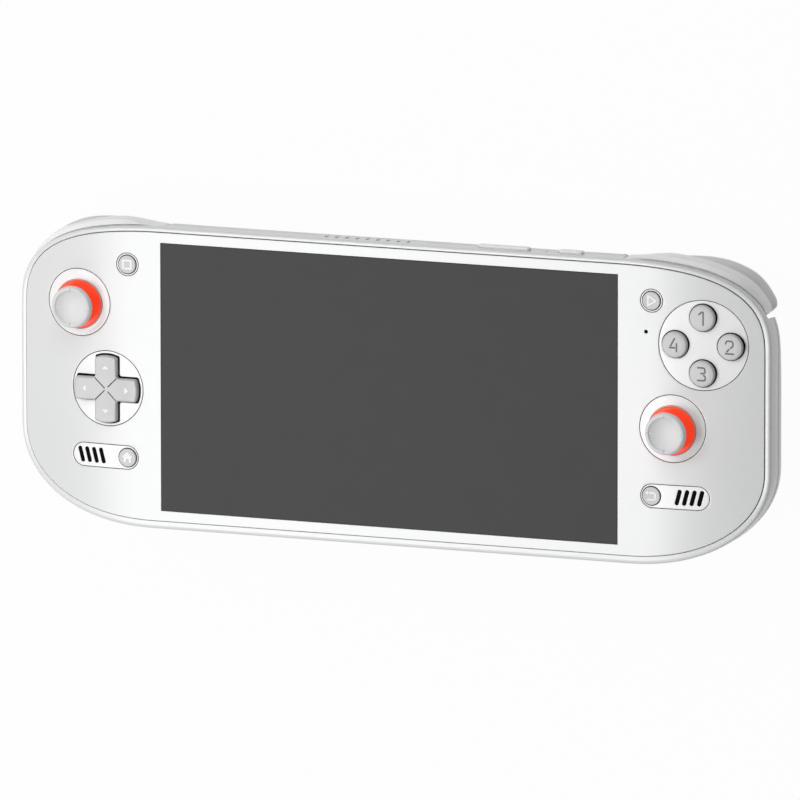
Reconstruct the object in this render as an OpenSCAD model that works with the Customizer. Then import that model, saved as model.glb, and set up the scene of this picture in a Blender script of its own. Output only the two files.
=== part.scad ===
/* [Screen] */
// Width of the screen glass
screen_w = 155; // [150:0.5:156]
// Height of the screen glass
screen_h = 87.2; // [82:0.2:87.4]
// Thickness of the screen glass
glass_t = 1.7; // [1.2:0.1:1.7]

/* [Front plate] */
// Length of the front plate
plate_w = 250.4; // [249.6:0.2:254]
// Height of the front plate
plate_h = 93.8; // [93.4:0.2:96]
// Thickness of the front plate
plate_t = 1.8; // [1.6:0.1:1.9]
// Width of an upper corner curve
corner_top_w = 51.6; // [48:0.2:54]
// Height of an upper corner curve
corner_top_h = 28; // [26:0.5:30]
// Fullness of an upper corner curve
corner_top_n = 2.75; // [2.5:0.05:2.9]
// Width of a lower corner curve
corner_low_w = 45; // [42:0.5:48]
// Height of a lower corner curve
corner_low_h = 29; // [27:0.5:31]
// Fullness of a lower corner curve
corner_low_n = 2.15; // [2.05:0.05:2.4]
// Distance from the middle where the wings begin to bend
wing_start = 87.8; // [86:0.2:90]
// Radius of the wing bend
wing_r = 169; // [155:1:200]

/* [Frame band] */
// How far the band stands out above the plate edge
frame_top = 1.5; // [1.3:0.1:1.8]
// How far the band stands out at the sides
frame_side = 2; // [1.8:0.1:2.4]
// How far the band stands out below
frame_low = 2.8; // [2.4:0.1:3.2]
// Depth of the rounded front edge of the band
frame_round = 3; // [2.4:0.1:3.1]
// Depth of the band
frame_depth = 8; // [8:0.1:8.4]
// Thickness of the ledge under the plate
ledge_t = 1; // [0.8:0.1:1.1]
// Reach of the ledge under the plate
ledge_w = 2.2; // [1.6:0.1:2.4]

/* [Back shell] */
// Depth of the body between the grips
body_t = 16; // [15.8:0.1:17]
// Extra depth of the grips
grip_t = 14; // [13.6:0.1:15]
// Thickness of the shell wall
shell_t = 2; // [1.6:0.1:2.2]
// Distance from the middle where the grips begin to rise
grip_in = 58; // [56:0.5:60]
// Distance from the middle where the grips are full
grip_full = 94; // [92:0.5:96]
// Share of the grip depth left at the upper edge
grip_top = 0.4; // [0.38:0.01:0.5]
// Share of the grip depth left at the lower edge
grip_low = 0.45; // [0.4:0.01:0.6]
// Rounding of the long edges
edge_round = 7; // [6:0.5:8]
// Rounding of the grip ends
grip_round = 22; // [20:0.5:24]
// Depth that the resting lands are cut into the grips
land_cut = 0.3; // [0.2:0.05:0.5]

/* [Control places] */
// Distance from the middle of the left stick and the action buttons
high_x = 105.74794; // [105.2:0.00002:106]
// Height above the middle of the left stick and the action buttons
high_y = 22.4; // [22:0.1:22.6]
// Distance from the middle of the right stick and the direction pad
low_x = 95.79772; // [95.4:0.00002:96.4]
// Height of the right stick and the direction pad, below the middle
low_y = 4.9; // [4.6:0.1:5.4]
// Distance of a stick below the middle of its light ring
stick_sag = 0.5; // [0:0.05:0.6]

/* [Sticks] */
// Radius of the hole for a light ring
ring_r = 11; // [10.9:0.05:11.4]
// Radius of the stick cap
cap_r = 6.85; // [6.4:0.05:7.2]
// Rise of the cap rim above the plate
cap_rise = 7.6; // [6.4:0.1:8]
// Radius of the orange skirt at its rim
skirt_r = 7.5; // [7.3:0.05:7.7]
// Rise of the skirt above the plate
skirt_rise = 1.1; // [0.9:0.05:1.2]
// Depth of the gimbal centre below the plate surface
pivot_d = 3.5; // [3.4:0.05:3.6]
// Radius of the stick post
post_r = 1.5; // [1.2:0.1:1.6]

/* [Direction pad] */
// Radius of the hole for the pad bezel
pad_ring_r = 12.3; // [12.1:0.1:12.6]
// Width of an arm
pad_arm_w = 7.4; // [6.8:0.1:7.6]
// Radius to the end of an arm
pad_r = 10.9; // [10.4:0.1:11]
// Rise of the pad above the plate
pad_rise = 2.2; // [1.8:0.1:2.8]
// Gap between the pad and its bezel
pad_gap = 0.5; // [0.45:0.05:0.6]
// Depth of the rocker centre below the plate surface
pad_pivot_d = 4.4; // [4.4:0.05:4.6]

/* [Action buttons] */
// Radius of the hole for the button bezel
face_ring_r = 14.6; // [14.4:0.05:14.8]
// Distance of a button from the middle of the four
face_pitch = 8.95; // [8.8:0.05:9.1]
// Radius of a button
face_r = 4.25; // [4:0.05:4.4]
// Rise of a button above the plate
face_rise = 1.5; // [1.4:0.1:2]
// Travel of a button
face_travel = 1.2; // [0.8:0.1:1.2]

/* [Menu buttons] */
// Distance of the upper menu buttons from the middle
menu_x = 88.80013; // [88.4:0.00001:89.2]
// Height of the upper menu buttons above the middle
menu_y = 35.9; // [35.4:0.1:36.2]
// Radius of the hole for a menu button bezel
menu_ring_r = 3.8; // [3.7:0.05:4]
// Radius of a menu button
menu_r = 2.95; // [2.7:0.05:3]
// Rise of a menu button above the plate
menu_rise = 0.4; // [0.3:0.05:0.6]
// Travel of a menu button
menu_travel = 0.5; // [0.4:0.05:0.6]

/* [Speaker bezels] */
// Distance of the inner end of a speaker bezel from the middle
pill_in = 85.19878; // [84.9:0.00002:85.4]
// Distance of the outer end of a speaker bezel from the middle
pill_out = 108.09878; // [107.8:0.00002:108.6]
// Height of a speaker bezel
pill_h = 7.85; // [7.7:0.05:8]
// Height of the speaker bezels below the middle
pill_y = 27; // [26.8:0.1:27.2]
// Number of speaker slots
slot_count = 4; // [3:1:4]
// Pitch of the speaker slots
slot_pitch = 2.44; // [2.3:0.02:2.5]
// Width of a speaker slot
slot_w = 1; // [0.8:0.05:1.1]
// Length of a speaker slot
slot_l = 5; // [4.4:0.1:5.2]
// Lean of the speaker slots
slot_lean = 14.5; // [10:0.5:16]

/* [Shoulder buttons and triggers] */
// Distance of the inner end of a shoulder button from the middle
shoulder_in = 78.2; // [77.8:0.1:78.6]
// How far a shoulder button stands out from the plate edge
shoulder_rise = 3.6; // [3.2:0.1:3.8]
// Depth where a shoulder button begins
shoulder_d = 3.45; // [3.45:0.05:3.6]
// Depth of a shoulder button
shoulder_t = 7.6; // [7.2:0.1:7.8]
// Angle along the corner where the shoulder buttons and triggers end
corner_end = 19.5; // [19:0.5:21]
// Distance of the inner end of a trigger from the middle
trigger_in = 77; // [76.6:0.1:77.4]
// How far a trigger stands out from the plate edge
trigger_rise = 3.3; // [3:0.1:3.6]
// Gap in depth between a shoulder button and its trigger
trigger_gap = 0.6; // [0.5:0.05:0.8]
// Depth of a trigger
trigger_t = 11.8; // [11:0.1:12]
// Radius of the hinge pins
pin_r = 1.2; // [1:0.05:1.25]
// Radius of the trigger spring coil
coil_r = 2; // [1.9:0.05:2.1]
// Radius of the trigger spring wire
wire_r = 0.25; // [0.2:0.01:0.26]
// Turns of a trigger spring
coil_turns = 5; // [4:1:5]

/* [Top keys and vents] */
// Place of the volume rocker along the top
volume_x = 37.5; // [37:0.5:38]
// Length of the volume rocker
volume_l = 17.5; // [16:0.5:18]
// Place of the power button along the top
power_x = 60; // [59.5:0.5:60.5]
// Length of the power button
power_l = 8.3; // [8:0.1:9]
// Width of the top keys
key_w = 2.4; // [2:0.1:2.6]
// Rise of the top keys
key_rise = 0.95; // [0.7:0.05:1.1]
// Travel of the power button
power_travel = 0.5; // [0.3:0.1:0.6]
// Depth of the middle of the top keys below the screen
key_d = 5.2; // [5:0.1:5.4]
// Number of air slots in the top edge
vent_count = 9; // [7:1:9]
// Pitch of the air slots in the top edge
vent_pitch = 3.48; // [3.2:0.02:3.6]
// Place of the middle air slot along the top
vent_x = -8.75; // [-9.5:0.25:-8]
// Width of an air slot
vent_w = 1.2; // [1:0.1:1.4]
// Height of an air slot
vent_h = 2.6; // [2:0.1:2.8]
// Place of the top microphone along the top
dot_x = 51.6; // [51.2:0.1:52]
// Radius of the microphone holes
dot_r = 0.6; // [0.5:0.05:0.7]

/* [Ports] */
// Place of the charging port along the lower edge
port_x = 0; // [-0.5:0.5:0.5]
// Width of the charging port shell
port_w = 8.94; // [8.9:0.02:9]
// Height of the charging port shell
port_h = 3.26; // [3.2:0.02:3.3]
// Place of the headphone jack along the lower edge
jack_x = 24; // [23.5:0.5:24.5]
// Bore radius of the headphone jack
jack_r = 1.8; // [1.75:0.01:1.8]
// Bore length of the headphone jack
jack_l = 13; // [12:0.5:13]
// Place of the card slot along the lower edge
card_x = 46; // [45.5:0.5:46.5]
// Width of the card slot
card_w = 11.2; // [11.1:0.1:11.6]

/* [Inside] */
// Length of the battery
battery_l = 86; // [70:1:87]
// Height of the battery
battery_h = 31; // [26:0.5:31]
// Thickness of the battery
battery_t = 6; // [5:0.1:7]
// Radius of the fan rotor
fan_r = 16.5; // [15:0.1:16.8]
// Number of fan blades
fan_blades = 17; // [11:2:19]
// Number of fins of the heat sink
fin_count = 18; // [12:1:20]
// Radius of the head of a case screw
screw_head_r = 2.1; // [1.9:0.05:2.1]
// Radius of the shank of a case screw
screw_r = 0.95; // [0.8:0.05:1]

/* [Clearances] */
// Seam between the plate and what is set into it
seam = 0.12; // [0.08:0.01:0.15]
// Gap between stacked pieces that do not move
lay_gap = 0.1; // [0.05:0.01:0.12]
// Gap round the sliding buttons
slide_gap = 0.2; // [0.15:0.01:0.25]
// Gap of a pin in its bore
run_gap = 0.05; // [0.03:0.01:0.08]
// Gap round the shoulder buttons
shoulder_gap = 0.3; // [0.25:0.05:0.4]

/* [Hidden] */
$fn = 72;
fine = 240;

edge_x = screen_w / 2;
half_w = plate_w / 2;
half_h = plate_h / 2;
corner_start = half_w - corner_top_w;
front_z = body_t + grip_t;
reach = 60;
straight_steps = 3;
arc_steps = 16;
side_steps = 3;
turn_steps = 5;
ring_steps = 10;
frame_in = 0.8;
flange_t = 1;
flange_w = 1.2;
under_d = plate_t + lay_gap;
bezel_d = under_d + flange_t;
rim_d = frame_depth + lay_gap;
board_d = 9;
board_t = 1;
boss_d = 14;
boss_r = 2.4;
post_out_r = 3.4;
seat_d = 18;
stick_box = 7.3;
stick_box_d = 4.6;
stick_box_t = 3.5;
seat_gap = 0.3;
skirt_t = 0.6;
yoke_x = 6.2;
rod_r = 1.8;
rod_gap = 0.4;
stick_arm = (ring_r + flange_w + rod_gap + rod_r + stick_sag) / sqrt(2);
shoulder_wall = 1.2;
trigger_wall = 5;
trigger_y = half_h - 14.7;
trigger_z = front_z - 15;
ear_t = 2;
ear_gap = 0.4;
bracket_w = 22.4;
bracket_in = shoulder_in + 5.8;
bracket_out = bracket_in + bracket_w;
trigger_ear_in = bracket_in + ear_t + ear_gap;
trigger_ear_out = bracket_out - 2 * ear_t - ear_gap;
shoulder_pin = [shoulder_in + 3.3, half_h - 5.4];
panel_w = screen_w + 3;
panel_h = screen_h + 1.2;
panel_t = 1.2;
chassis_d = 3.7;
chassis_t = 1;
main_d = 7.3;
chassis_low = 9.1 - screen_h / 2;
chassis_h = screen_h - 12.2;
main_x = edge_x - 63.5;
main_w = 62;
main_low = 3.6 - screen_h / 2;
main_h = screen_h - 11.2;
lead_w = 8;
lead_t = 0.25;
lead_y = -14;
fan_x = main_x - 25;
fan_y = half_h - 29.9;
motor_place = [half_w - 17.2, 22.9 - half_h];
motor_h = 3.4;
fan_d = chassis_d + chassis_t + lay_gap;
fan_t = 8;
jack_d = 5.5;
jack_out_r = jack_r + 0.4;
screws = [[edge_x + 5.7, half_h - 32.9], [edge_x + 5.7, 6.9 - half_h], [half_w - 12.7, -8]];
ring_left = [-high_x, high_y];
ring_right = [low_x, -low_y];
stick_left = [ring_left[0], ring_left[1] - stick_sag];
stick_right = [ring_right[0], ring_right[1] - stick_sag];
pad_place = [-low_x, -low_y];
face_place = [high_x, high_y];
shell_grey = [0.93, 0.93, 0.93];
dark = [0.12, 0.12, 0.13];
steel = [0.7, 0.7, 0.72];

// Depth that the wings have dropped below the screen at x
function drop(x) = let (u = max(0, abs(x) - wing_start)) wing_r - sqrt(wing_r * wing_r - u * u);
// Height of the front surface at x
function top_z(x) = front_z - drop(x);
function smooth(a, b, x) = let (u = min(1, max(0, (x - a) / (b - a)))) u * u * (3 - 2 * u);
function mix(a, b, u) = a + (b - a) * u;
// Point of an upper corner, t = 90 at the top edge and 0 at the side; above 90, millimetres along the top
function top_pt(t, ms, mv) = t > 90 ? [corner_start - t + 90, half_h + mv] : [
    corner_start + (corner_top_w + ms) * pow(max(0, cos(t)), 2 / corner_top_n),
    half_h - corner_top_h + (corner_top_h + mv) * pow(max(0, sin(t)), 2 / corner_top_n)
];
function low_pt(t, ms, mv) = [
    half_w - corner_low_w + (corner_low_w + ms) * pow(max(0, cos(t)), 2 / corner_low_n),
    corner_low_h - half_h - (corner_low_h + mv) * pow(max(0, sin(t)), 2 / corner_low_n)
];
// Corner angle at which the plate edge has reached x
function corner_at(x) = x < corner_start
    ? 90 + corner_start - x
    : acos(pow((x - corner_start) / corner_top_w, corner_top_n / 2));
// Right half of the outline, from the top to the bottom
function half_outline(ms, mt, ml) = concat(
    [for (i = [0 : straight_steps - 1]) [corner_start * i / straight_steps, half_h + mt]],
    [for (i = [0 : arc_steps]) top_pt(90 - 90 * i / arc_steps, ms, mt)],
    [for (i = [1 : side_steps])
        [half_w + ms, mix(half_h - corner_top_h, corner_low_h - half_h, i / (side_steps + 1))]],
    [for (i = [0 : arc_steps]) low_pt(90 * i / arc_steps, ms, ml)],
    [for (i = [straight_steps - 1 : -1 : 0])
        [(half_w - corner_low_w) * i / straight_steps, -half_h - ml]]
);
// Whole outline with margins at the sides, above and below
function outline(ms, mt, ml) = let (h = half_outline(ms, mt, ml)) concat(
    h,
    [for (i = [len(h) - 2 : -1 : 1]) [-h[i][0], h[i][1]]]
);
outline_n = len(outline(0, 0, 0));
half_last = len(half_outline(0, 0, 0)) - 1;
side_at = straight_steps + arc_steps;

// Depth of the grips and the back, below the screen
function grip_share(y) = 1 - (1 - grip_top) * smooth(half_h - 40.9, half_h - 4.9, y)
    - (1 - grip_low) * smooth(half_h - 20.9, half_h - 0.9, -y);
function back_d(x, y) = body_t + (grip_t + land_cut) * smooth(grip_in, grip_full, abs(x)) * grip_share(y);
function round_at(x) = mix(edge_round, grip_round, smooth(half_w - 65.2, half_w - 15.2, abs(x)));
spine_x = half_w - 81.2;
function spine(p) = [max(-spine_x, min(spine_x, p[0])), 0];
// Depth of the shell a distance in from its edge, estimated from the nearer edge
function shell_d(x, y) = let (
    e = min(half_w + frame_side - abs(x), half_h + frame_low - abs(y)),
    u = 1 - min(1, e / round_at(x)),
    r = rim_d + drop(x)
) r + (back_d(x, y) - r) * sqrt(1 - u * u);
// One ring of the shell, k = 0 at the rim, moved in by the wall thickness w
function shell_ring(k, w) = let (
    edge = outline(frame_side - w, frame_top - w, frame_low - w),
    base = outline(0, 0, 0)
) [for (i = [0 : outline_n - 1]) let (
    p = edge[i],
    v = spine(p) - p,
    far = norm(v),
    wide = round_at(p[0]) - w,
    r = k <= turn_steps
        ? wide * (1 - cos(90 * k / turn_steps))
        : mix(wide, far * 0.9, (k - turn_steps) / (ring_steps - turn_steps)),
    q = p + v * r / far,
    rim = rim_d + drop(base[i][0]),
    d = k <= turn_steps
        ? rim + (back_d(q[0], q[1]) - w - rim) * sin(90 * k / turn_steps)
        : back_d(q[0], q[1]) - w
) [q[0], q[1], front_z - d]];

// Triangles between rings of n points, numbered from a
function ring_faces(n, a, b, flip) = [for (i = [0 : n - 1]) let (j = (i + 1) % n)
    each flip
        ? [[a + i, b + j, a + j], [a + i, b + i, b + j]]
        : [[a + i, a + j, b + j], [a + i, b + j, b + i]]];

// Triangles that fill the flat middle of an outline, seen from the front
half_fill = concat(
    [for (i = [0 : side_at - 2]) each [[i, i + 1, half_last - 1 - i], [i, half_last - 1 - i, half_last - i]]],
    [for (j = [side_at : half_last - side_at]) [side_at - 1, j, j + 1]]
);
flat_fill = concat(half_fill, [for (f = half_fill) [for (k = [2, 1, 0]) (outline_n - f[k]) % outline_n]]);

// Solid from a row of closed sections, with flat ends
module row_solid(rows) {
    n = len(rows[0]);
    last = len(rows) - 1;
    polyhedron(
        points = [for (row = rows) each row],
        faces = concat(
            [for (k = [0 : last - 1]) each ring_faces(n, k * n, (k + 1) * n, false)],
            [[for (i = [n - 1 : -1 : 0]) i]],
            [[for (i = [0 : n - 1]) last * n + i]]
        )
    );
}

// Solid from a closed loop of sections
module loop_solid(rows) {
    n = len(rows[0]);
    m = len(rows);
    polyhedron(
        points = [for (row = rows) each row],
        faces = [for (k = [0 : m - 1]) each ring_faces(n, k * n, ((k + 1) % m) * n, false)]
    );
}

module place() {
    translate([0, lift_y, 0])
        children();
}

module both() {
    children();
    mirror([1, 0, 0])
        children();
}

// Area under the front surface, lowered by d, seen from the lower edge
module under_surface(d) {
    translate([0, -d]) {
        translate([-wing_start, front_z - reach])
            square([2 * wing_start, reach]);
        for (side = [-1, 1])
            intersection() {
                translate([side * wing_start, front_z - wing_r])
                    circle(wing_r, $fn = fine);
                translate([side > 0 ? wing_start : -wing_start - reach, front_z - reach])
                    square(reach);
            }
    }
}

// Curved layer between depths a and b below the front surface
module layer(a, b) {
    rotate([90, 0, 0])
        translate([0, 0, -80])
            linear_extrude(160)
                difference() {
                    under_surface(a);
                    under_surface(b);
                }
}

module column(p, r) {
    translate([p[0], p[1], -1])
        cylinder(h = front_z + 20, r = r);
}

// Part of a curved layer inside a round hole
module disc(p, r, a, b) {
    intersection() {
        layer(a, b);
        column(p, r);
    }
}

module pill_area(w, h) {
    square([w - h, h], center = true);
    for (side = [-1, 1])
        translate([side * (w - h) / 2, 0])
            circle(h / 2);
}

module pill_column(extra) {
    translate([(pill_in + pill_out) / 2, -pill_y, -1])
        linear_extrude(front_z + 20)
            pill_area(pill_out - pill_in + 2 * extra, pill_h + 2 * extra);
}

function rod_z(x) = top_z(x) - plate_t / 2;

module front_shell() {
    color(shell_grey)
        difference() {
            union() {
                intersection() {
                    layer(0, plate_t);
                    linear_extrude(front_z + 1)
                        polygon(outline(0, 0, 0));
                }
                both()
                    for (p = screws)
                        translate([p[0], p[1], front_z - boss_d])
                            cylinder(h = rod_z(p[0]) - front_z + boss_d, r = boss_r);
                for (p = [stick_left, stick_right])
                    for (side = [-1, 1])
                        translate([p[0] - side * stick_arm, p[1] + side * stick_arm, 0])
                            stick_rod(p, p[0] - side * stick_arm);
            }
            translate([-screen_w / 2, -screen_h / 2, front_z - 5])
                cube([screen_w, screen_h, 10]);
            column(ring_left, ring_r);
            column(ring_right, ring_r);
            column(pad_place, pad_ring_r);
            column(face_place, face_ring_r);
            both() {
                column([menu_x, menu_y], menu_ring_r);
                pill_column(0);
                for (p = screws)
                    translate([p[0], p[1], front_z - boss_d - 1])
                        cylinder(h = 9, r = screw_r + run_gap);
            }
            column([menu_x - 1.8, menu_y - 10.1], dot_r);
        }
}

// Rod under the plate that carries a stick module
module stick_rod(p, x) {
    low = top_z(p[0]) - pivot_d - stick_box_d + lay_gap;
    translate([0, 0, low])
        cylinder(h = rod_z(x) - low, r = rod_r);
}

// Cross section of the frame band: share of the margin, extra margin, depth
frame_profile = [
    [0, seam, 0.3], [0.5, seam / 2, 0.45], [0.8, 0, frame_round * 0.36], [0.95, 0, frame_round * 0.68],
    [1, 0, frame_round], [1, 0, frame_depth], [0, -frame_in, frame_depth], [0, -frame_in, under_d + ledge_t],
    [0, -ledge_w, under_d + ledge_t], [0, -ledge_w, under_d], [0, seam, under_d]
];

module frame_ring() {
    base = outline(0, 0, 0);
    edges = [for (q = frame_profile)
        outline(q[0] * frame_side + q[1], q[0] * frame_top + q[1], q[0] * frame_low + q[1])];
    loop_solid([for (i = [0 : outline_n - 1])
        [for (j = [0 : len(frame_profile) - 1])
            [edges[j][i][0], edges[j][i][1], top_z(base[i][0]) - frame_profile[j][2]]]]);
}

// Solid that follows the upper right corner, from corner angle a to b, with a section list at each step
module corner_sweep(a, b, steps, sections) {
    row_solid([for (k = [0 : steps]) let (t = mix(a, b, k / steps), e = top_pt(t, 0, 0))
        [for (q = sections[k]) let (p = top_pt(t, q[0], q[0])) [p[0], p[1], top_z(e[0]) - q[1]]]]);
}

module corner_box(x_in, t_end, inner, outer, near, far) {
    corner_sweep(corner_at(x_in), t_end, 18, [for (k = [0 : 18])
        [[inner, near], [outer, near], [outer, far], [inner, far]]]);
}

module mid_frame() {
    color(shell_grey)
        difference() {
            frame_ring();
            both()
                corner_box(shoulder_in - shoulder_gap, corner_end - 3, -6, 9, shoulder_d - 0.15, 14);
            for (i = [0 : vent_count - 1])
                top_slot(vent_x + (i - (vent_count - 1) / 2) * vent_pitch, vent_w, vent_h);
            top_slot(volume_x, volume_l + 2 * slide_gap + 0.2, key_w + 2 * slide_gap);
            top_slot(power_x, power_l + 2 * slide_gap, key_w + 2 * slide_gap);
            translate([dot_x, half_h - 3, front_z - key_d])
                rotate([-90, 0, 0])
                    cylinder(h = 8, r = dot_r);
            low_hole(port_x, key_d + 0.4)
                pill_area(port_w + 2 * lay_gap, port_h + 2 * lay_gap);
            low_hole(jack_x, jack_d)
                circle(jack_out_r + lay_gap);
            low_hole(card_x, card_d)
                square([card_w + 0.8, 1.5], center = true);
        }
}

card_d = main_d - lay_gap - 0.95;

module top_slot(x, w, h) {
    translate([x, half_h - 3, front_z - key_d])
        rotate([-90, 0, 0])
            linear_extrude(8)
                if (w < h)
                    rotate(90)
                        pill_area(h, w);
                else
                    pill_area(w, h);
}

module low_hole(x, d) {
    translate([x, -half_h + 3, front_z - d])
        rotate([90, 0, 0])
            linear_extrude(8)
                children();
}

module shell_bowl() {
    n = outline_n;
    k = ring_steps;
    polyhedron(
        points = concat(
            [for (r = [0 : k]) each shell_ring(r, 0)],
            [for (r = [0 : k]) each shell_ring(r, shell_t)]
        ),
        faces = concat(
            [for (r = [0 : k - 1]) each ring_faces(n, r * n, (r + 1) * n, true)],
            [for (f = flat_fill) [k * n + f[2], k * n + f[1], k * n + f[0]]],
            [for (r = [0 : k - 1]) each ring_faces(n, (k + 1 + r) * n, (k + 2 + r) * n, false)],
            [for (f = flat_fill) [for (i = f) (2 * k + 1) * n + i]],
            ring_faces(n, 0, (k + 1) * n, false)
        )
    );
}

module back_shell() {
    color(shell_grey)
        difference() {
            union() {
                shell_bowl();
                both() {
                    for (p = screws)
                        shell_post(p, post_out_r, boss_d + lay_gap);
                    for (x = [bracket_in + 4, bracket_out - 4.4])
                        shell_post([x, trigger_y], 2, bracket_d + 1.2 + lay_gap);
                    shell_post(motor_place, 3, motor_d + motor_h + lay_gap);
                }
            }
            translate([-200, -100, -10])
                cube([400, 200, 10]);
            both() {
                corner_box(trigger_in - 0.6, corner_end - 3.5, -8.5, 12, rim_d - 3, notch_d);
                corner_box(trigger_in - 0.6, corner_end - 7, -8.5, 12, notch_d - 1, reach);
                for (p = screws) {
                    translate([p[0], p[1], front_z - boss_d - 8])
                        cylinder(h = 9, r = screw_r + 0.2);
                    translate([p[0], p[1], -5])
                        cylinder(h = front_z - seat_d + 5, r = screw_head_r + 0.3);
                }
            }
            for (i = [-4 : 4])
                translate([fan_x + i * 4, fan_y, 0])
                    linear_extrude(front_z - body_t + 6)
                        rotate(90)
                            pill_area(24 - 2.2 * abs(i), 1.8);
        }
}

bracket_d = 17.4;
motor_d = 20.6;
notch_d = 15;

// Post that stands on the inside of the back shell and reaches up to depth d
module shell_post(p, r, d) {
    foot = shell_d(p[0] + r, p[1]) - shell_t * 0.4;
    translate([p[0], p[1], front_z - foot])
        cylinder(h = foot - d, r = r);
}

module display_glass() {
    color([0.3, 0.3, 0.31])
        translate([-screen_w / 2 + seam, -screen_h / 2 + seam, front_z - glass_t])
            cube([screen_w - 2 * seam, screen_h - 2 * seam, glass_t - 0.02]);
}

module display_panel() {
    color(dark)
        translate([-panel_w / 2, -panel_h / 2, front_z - under_d - panel_t])
            cube([panel_w, panel_h, panel_t]);
}

module chassis_plate() {
    color([0.75, 0.76, 0.78]) {
        translate([-panel_w / 2, chassis_low, front_z - chassis_d - chassis_t])
            difference() {
                cube([panel_w, chassis_h, chassis_t]);
                for (i = [1 : 2 : 7])
                    translate([panel_w * i / 8, chassis_h * 0.27, -1])
                        linear_extrude(chassis_t + 2)
                            pill_area(14, 6);
            }
        for (x = [main_x + 4, main_x + main_w - 4], y = [main_low + 10, main_low + main_h - 4])
            translate([x, y, front_z - main_d + lay_gap])
                cylinder(h = main_d - lay_gap - chassis_d - chassis_t / 2, r = 1.8);
    }
}

// Sections of a shoulder button at corner angles from the inner end on
bumper_a = corner_at(shoulder_in);
bumper_steps = 26;
function end_round(t) = let (u = max(0, 1 - (t - corner_end) / 7)) 1 - sqrt(1 - u * u);
function bumper_section(t) = let (
    x = top_pt(t, 0, 0)[0],
    h = mix(frame_top, shoulder_rise, smooth(shoulder_in, shoulder_in + 15, x)) - 1.6 * end_round(t),
    a = shoulder_d,
    b = shoulder_d + shoulder_t
) [
    [-shoulder_wall, a], [frame_top - 0.5, a], [frame_top, a + 0.35], [mix(frame_top, h, 0.62), a + 2.6],
    [mix(frame_top, h, 0.93), a + 4.6], [h, a + 5.9], [h - 0.1, b - 1], [h - 0.8, b],
    [-shoulder_wall, b]
];
trigger_a = corner_at(trigger_in);
trigger_steps = 26;
function trigger_section(t) = let (
    x = top_pt(t, 0, 0)[0],
    h = mix(0.3, trigger_rise, smooth(trigger_in, trigger_in + 20, x)) - 2.4 * end_round(t),
    a = shoulder_d + shoulder_t + trigger_gap,
    f = trigger_t * mix(0.6, 1, smooth(trigger_in, trigger_in + 18, x))
) [
    [-trigger_wall, a], [h - 1, a], [h - 0.3, a + f * 0.12], [h, a + f * 0.38], [h - 0.5, a + f * 0.62],
    [h - 1.7, a + f * 0.82], [h - 3.6, a + f * 0.96], [h - 5.4, a + f],
    [-trigger_wall - 0.4, a + f * 0.9]
];
top_reach = max([for (i = [0 : bumper_steps])
    let (t = mix(bumper_a, corner_end, i / bumper_steps)) top_pt(t, 0, bumper_section(t)[5][0])[1]]);
lift_y = (half_h + frame_low - max(top_reach, half_h + frame_top + key_rise)) / 2;

module shoulder_button() {
    pin = shoulder_pin;
    color(shell_grey)
        difference() {
            union() {
                corner_sweep(bumper_a, corner_end, bumper_steps, [for (i = [0 : bumper_steps])
                    bumper_section(mix(bumper_a, corner_end, i / bumper_steps))]);
                translate([pin[0], pin[1], front_z - 8.8])
                    cylinder(h = 3.8, r = 2.4);
                translate([pin[0] - 2, pin[1], front_z - 8.8])
                    cube([4, half_h - 0.6 - pin[1], 3.8]);
            }
            translate([pin[0], pin[1], front_z - 12])
                cylinder(h = 12, r = pin_r + run_gap);
        }
}

module left_shoulder_button() {
    mirror([1, 0, 0])
        shoulder_button();
}

module right_shoulder_button() {
    shoulder_button();
}

module trigger_ear(x, y_end) {
    translate([x, trigger_y, trigger_z])
        rotate([0, 90, 0])
            cylinder(h = ear_t, r = 2.2);
    translate([x, trigger_y, trigger_z - 1.8])
        cube([ear_t, y_end - trigger_y, 3.6]);
}

module trigger() {
    color([0.8, 0.8, 0.8])
        difference() {
            union() {
                corner_sweep(trigger_a, corner_end, trigger_steps, [for (i = [0 : trigger_steps])
                    trigger_section(mix(trigger_a, corner_end, i / trigger_steps))]);
                trigger_ear(trigger_ear_in, half_h - trigger_wall + 1.1);
                trigger_ear(trigger_ear_out, half_h - trigger_wall - 0.9);
            }
            translate([bracket_in, trigger_y, trigger_z])
                rotate([0, 90, 0])
                    cylinder(h = bracket_out - bracket_in, r = pin_r + run_gap);
        }
}

module left_trigger() {
    mirror([1, 0, 0])
        trigger();
}

module right_trigger() {
    trigger();
}

module trigger_brackets() {
    low = front_z - bracket_d - 1.2;
    color(steel)
        both()
            difference() {
                union() {
                    translate([bracket_in, trigger_y - 2, low])
                        cube([bracket_out - bracket_in, 4, 1.2]);
                    for (x = [bracket_in, bracket_out - ear_t])
                        translate([x, trigger_y - 2, low])
                            cube([ear_t, 4, trigger_z + 2 - low]);
                }
                translate([bracket_in - 1, trigger_y, trigger_z])
                    rotate([0, 90, 0])
                        cylinder(h = bracket_out - bracket_in + 2, r = pin_r + 0.02);
            }
}

module hinge_pins() {
    color(steel)
        both() {
            translate([bracket_in, trigger_y, trigger_z])
                rotate([0, 90, 0])
                    cylinder(h = bracket_out - bracket_in, r = pin_r);
            translate([shoulder_pin[0], shoulder_pin[1], front_z - board_d + lay_gap])
                cylinder(h = board_d - lay_gap - under_d, r = pin_r);
        }
}

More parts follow.
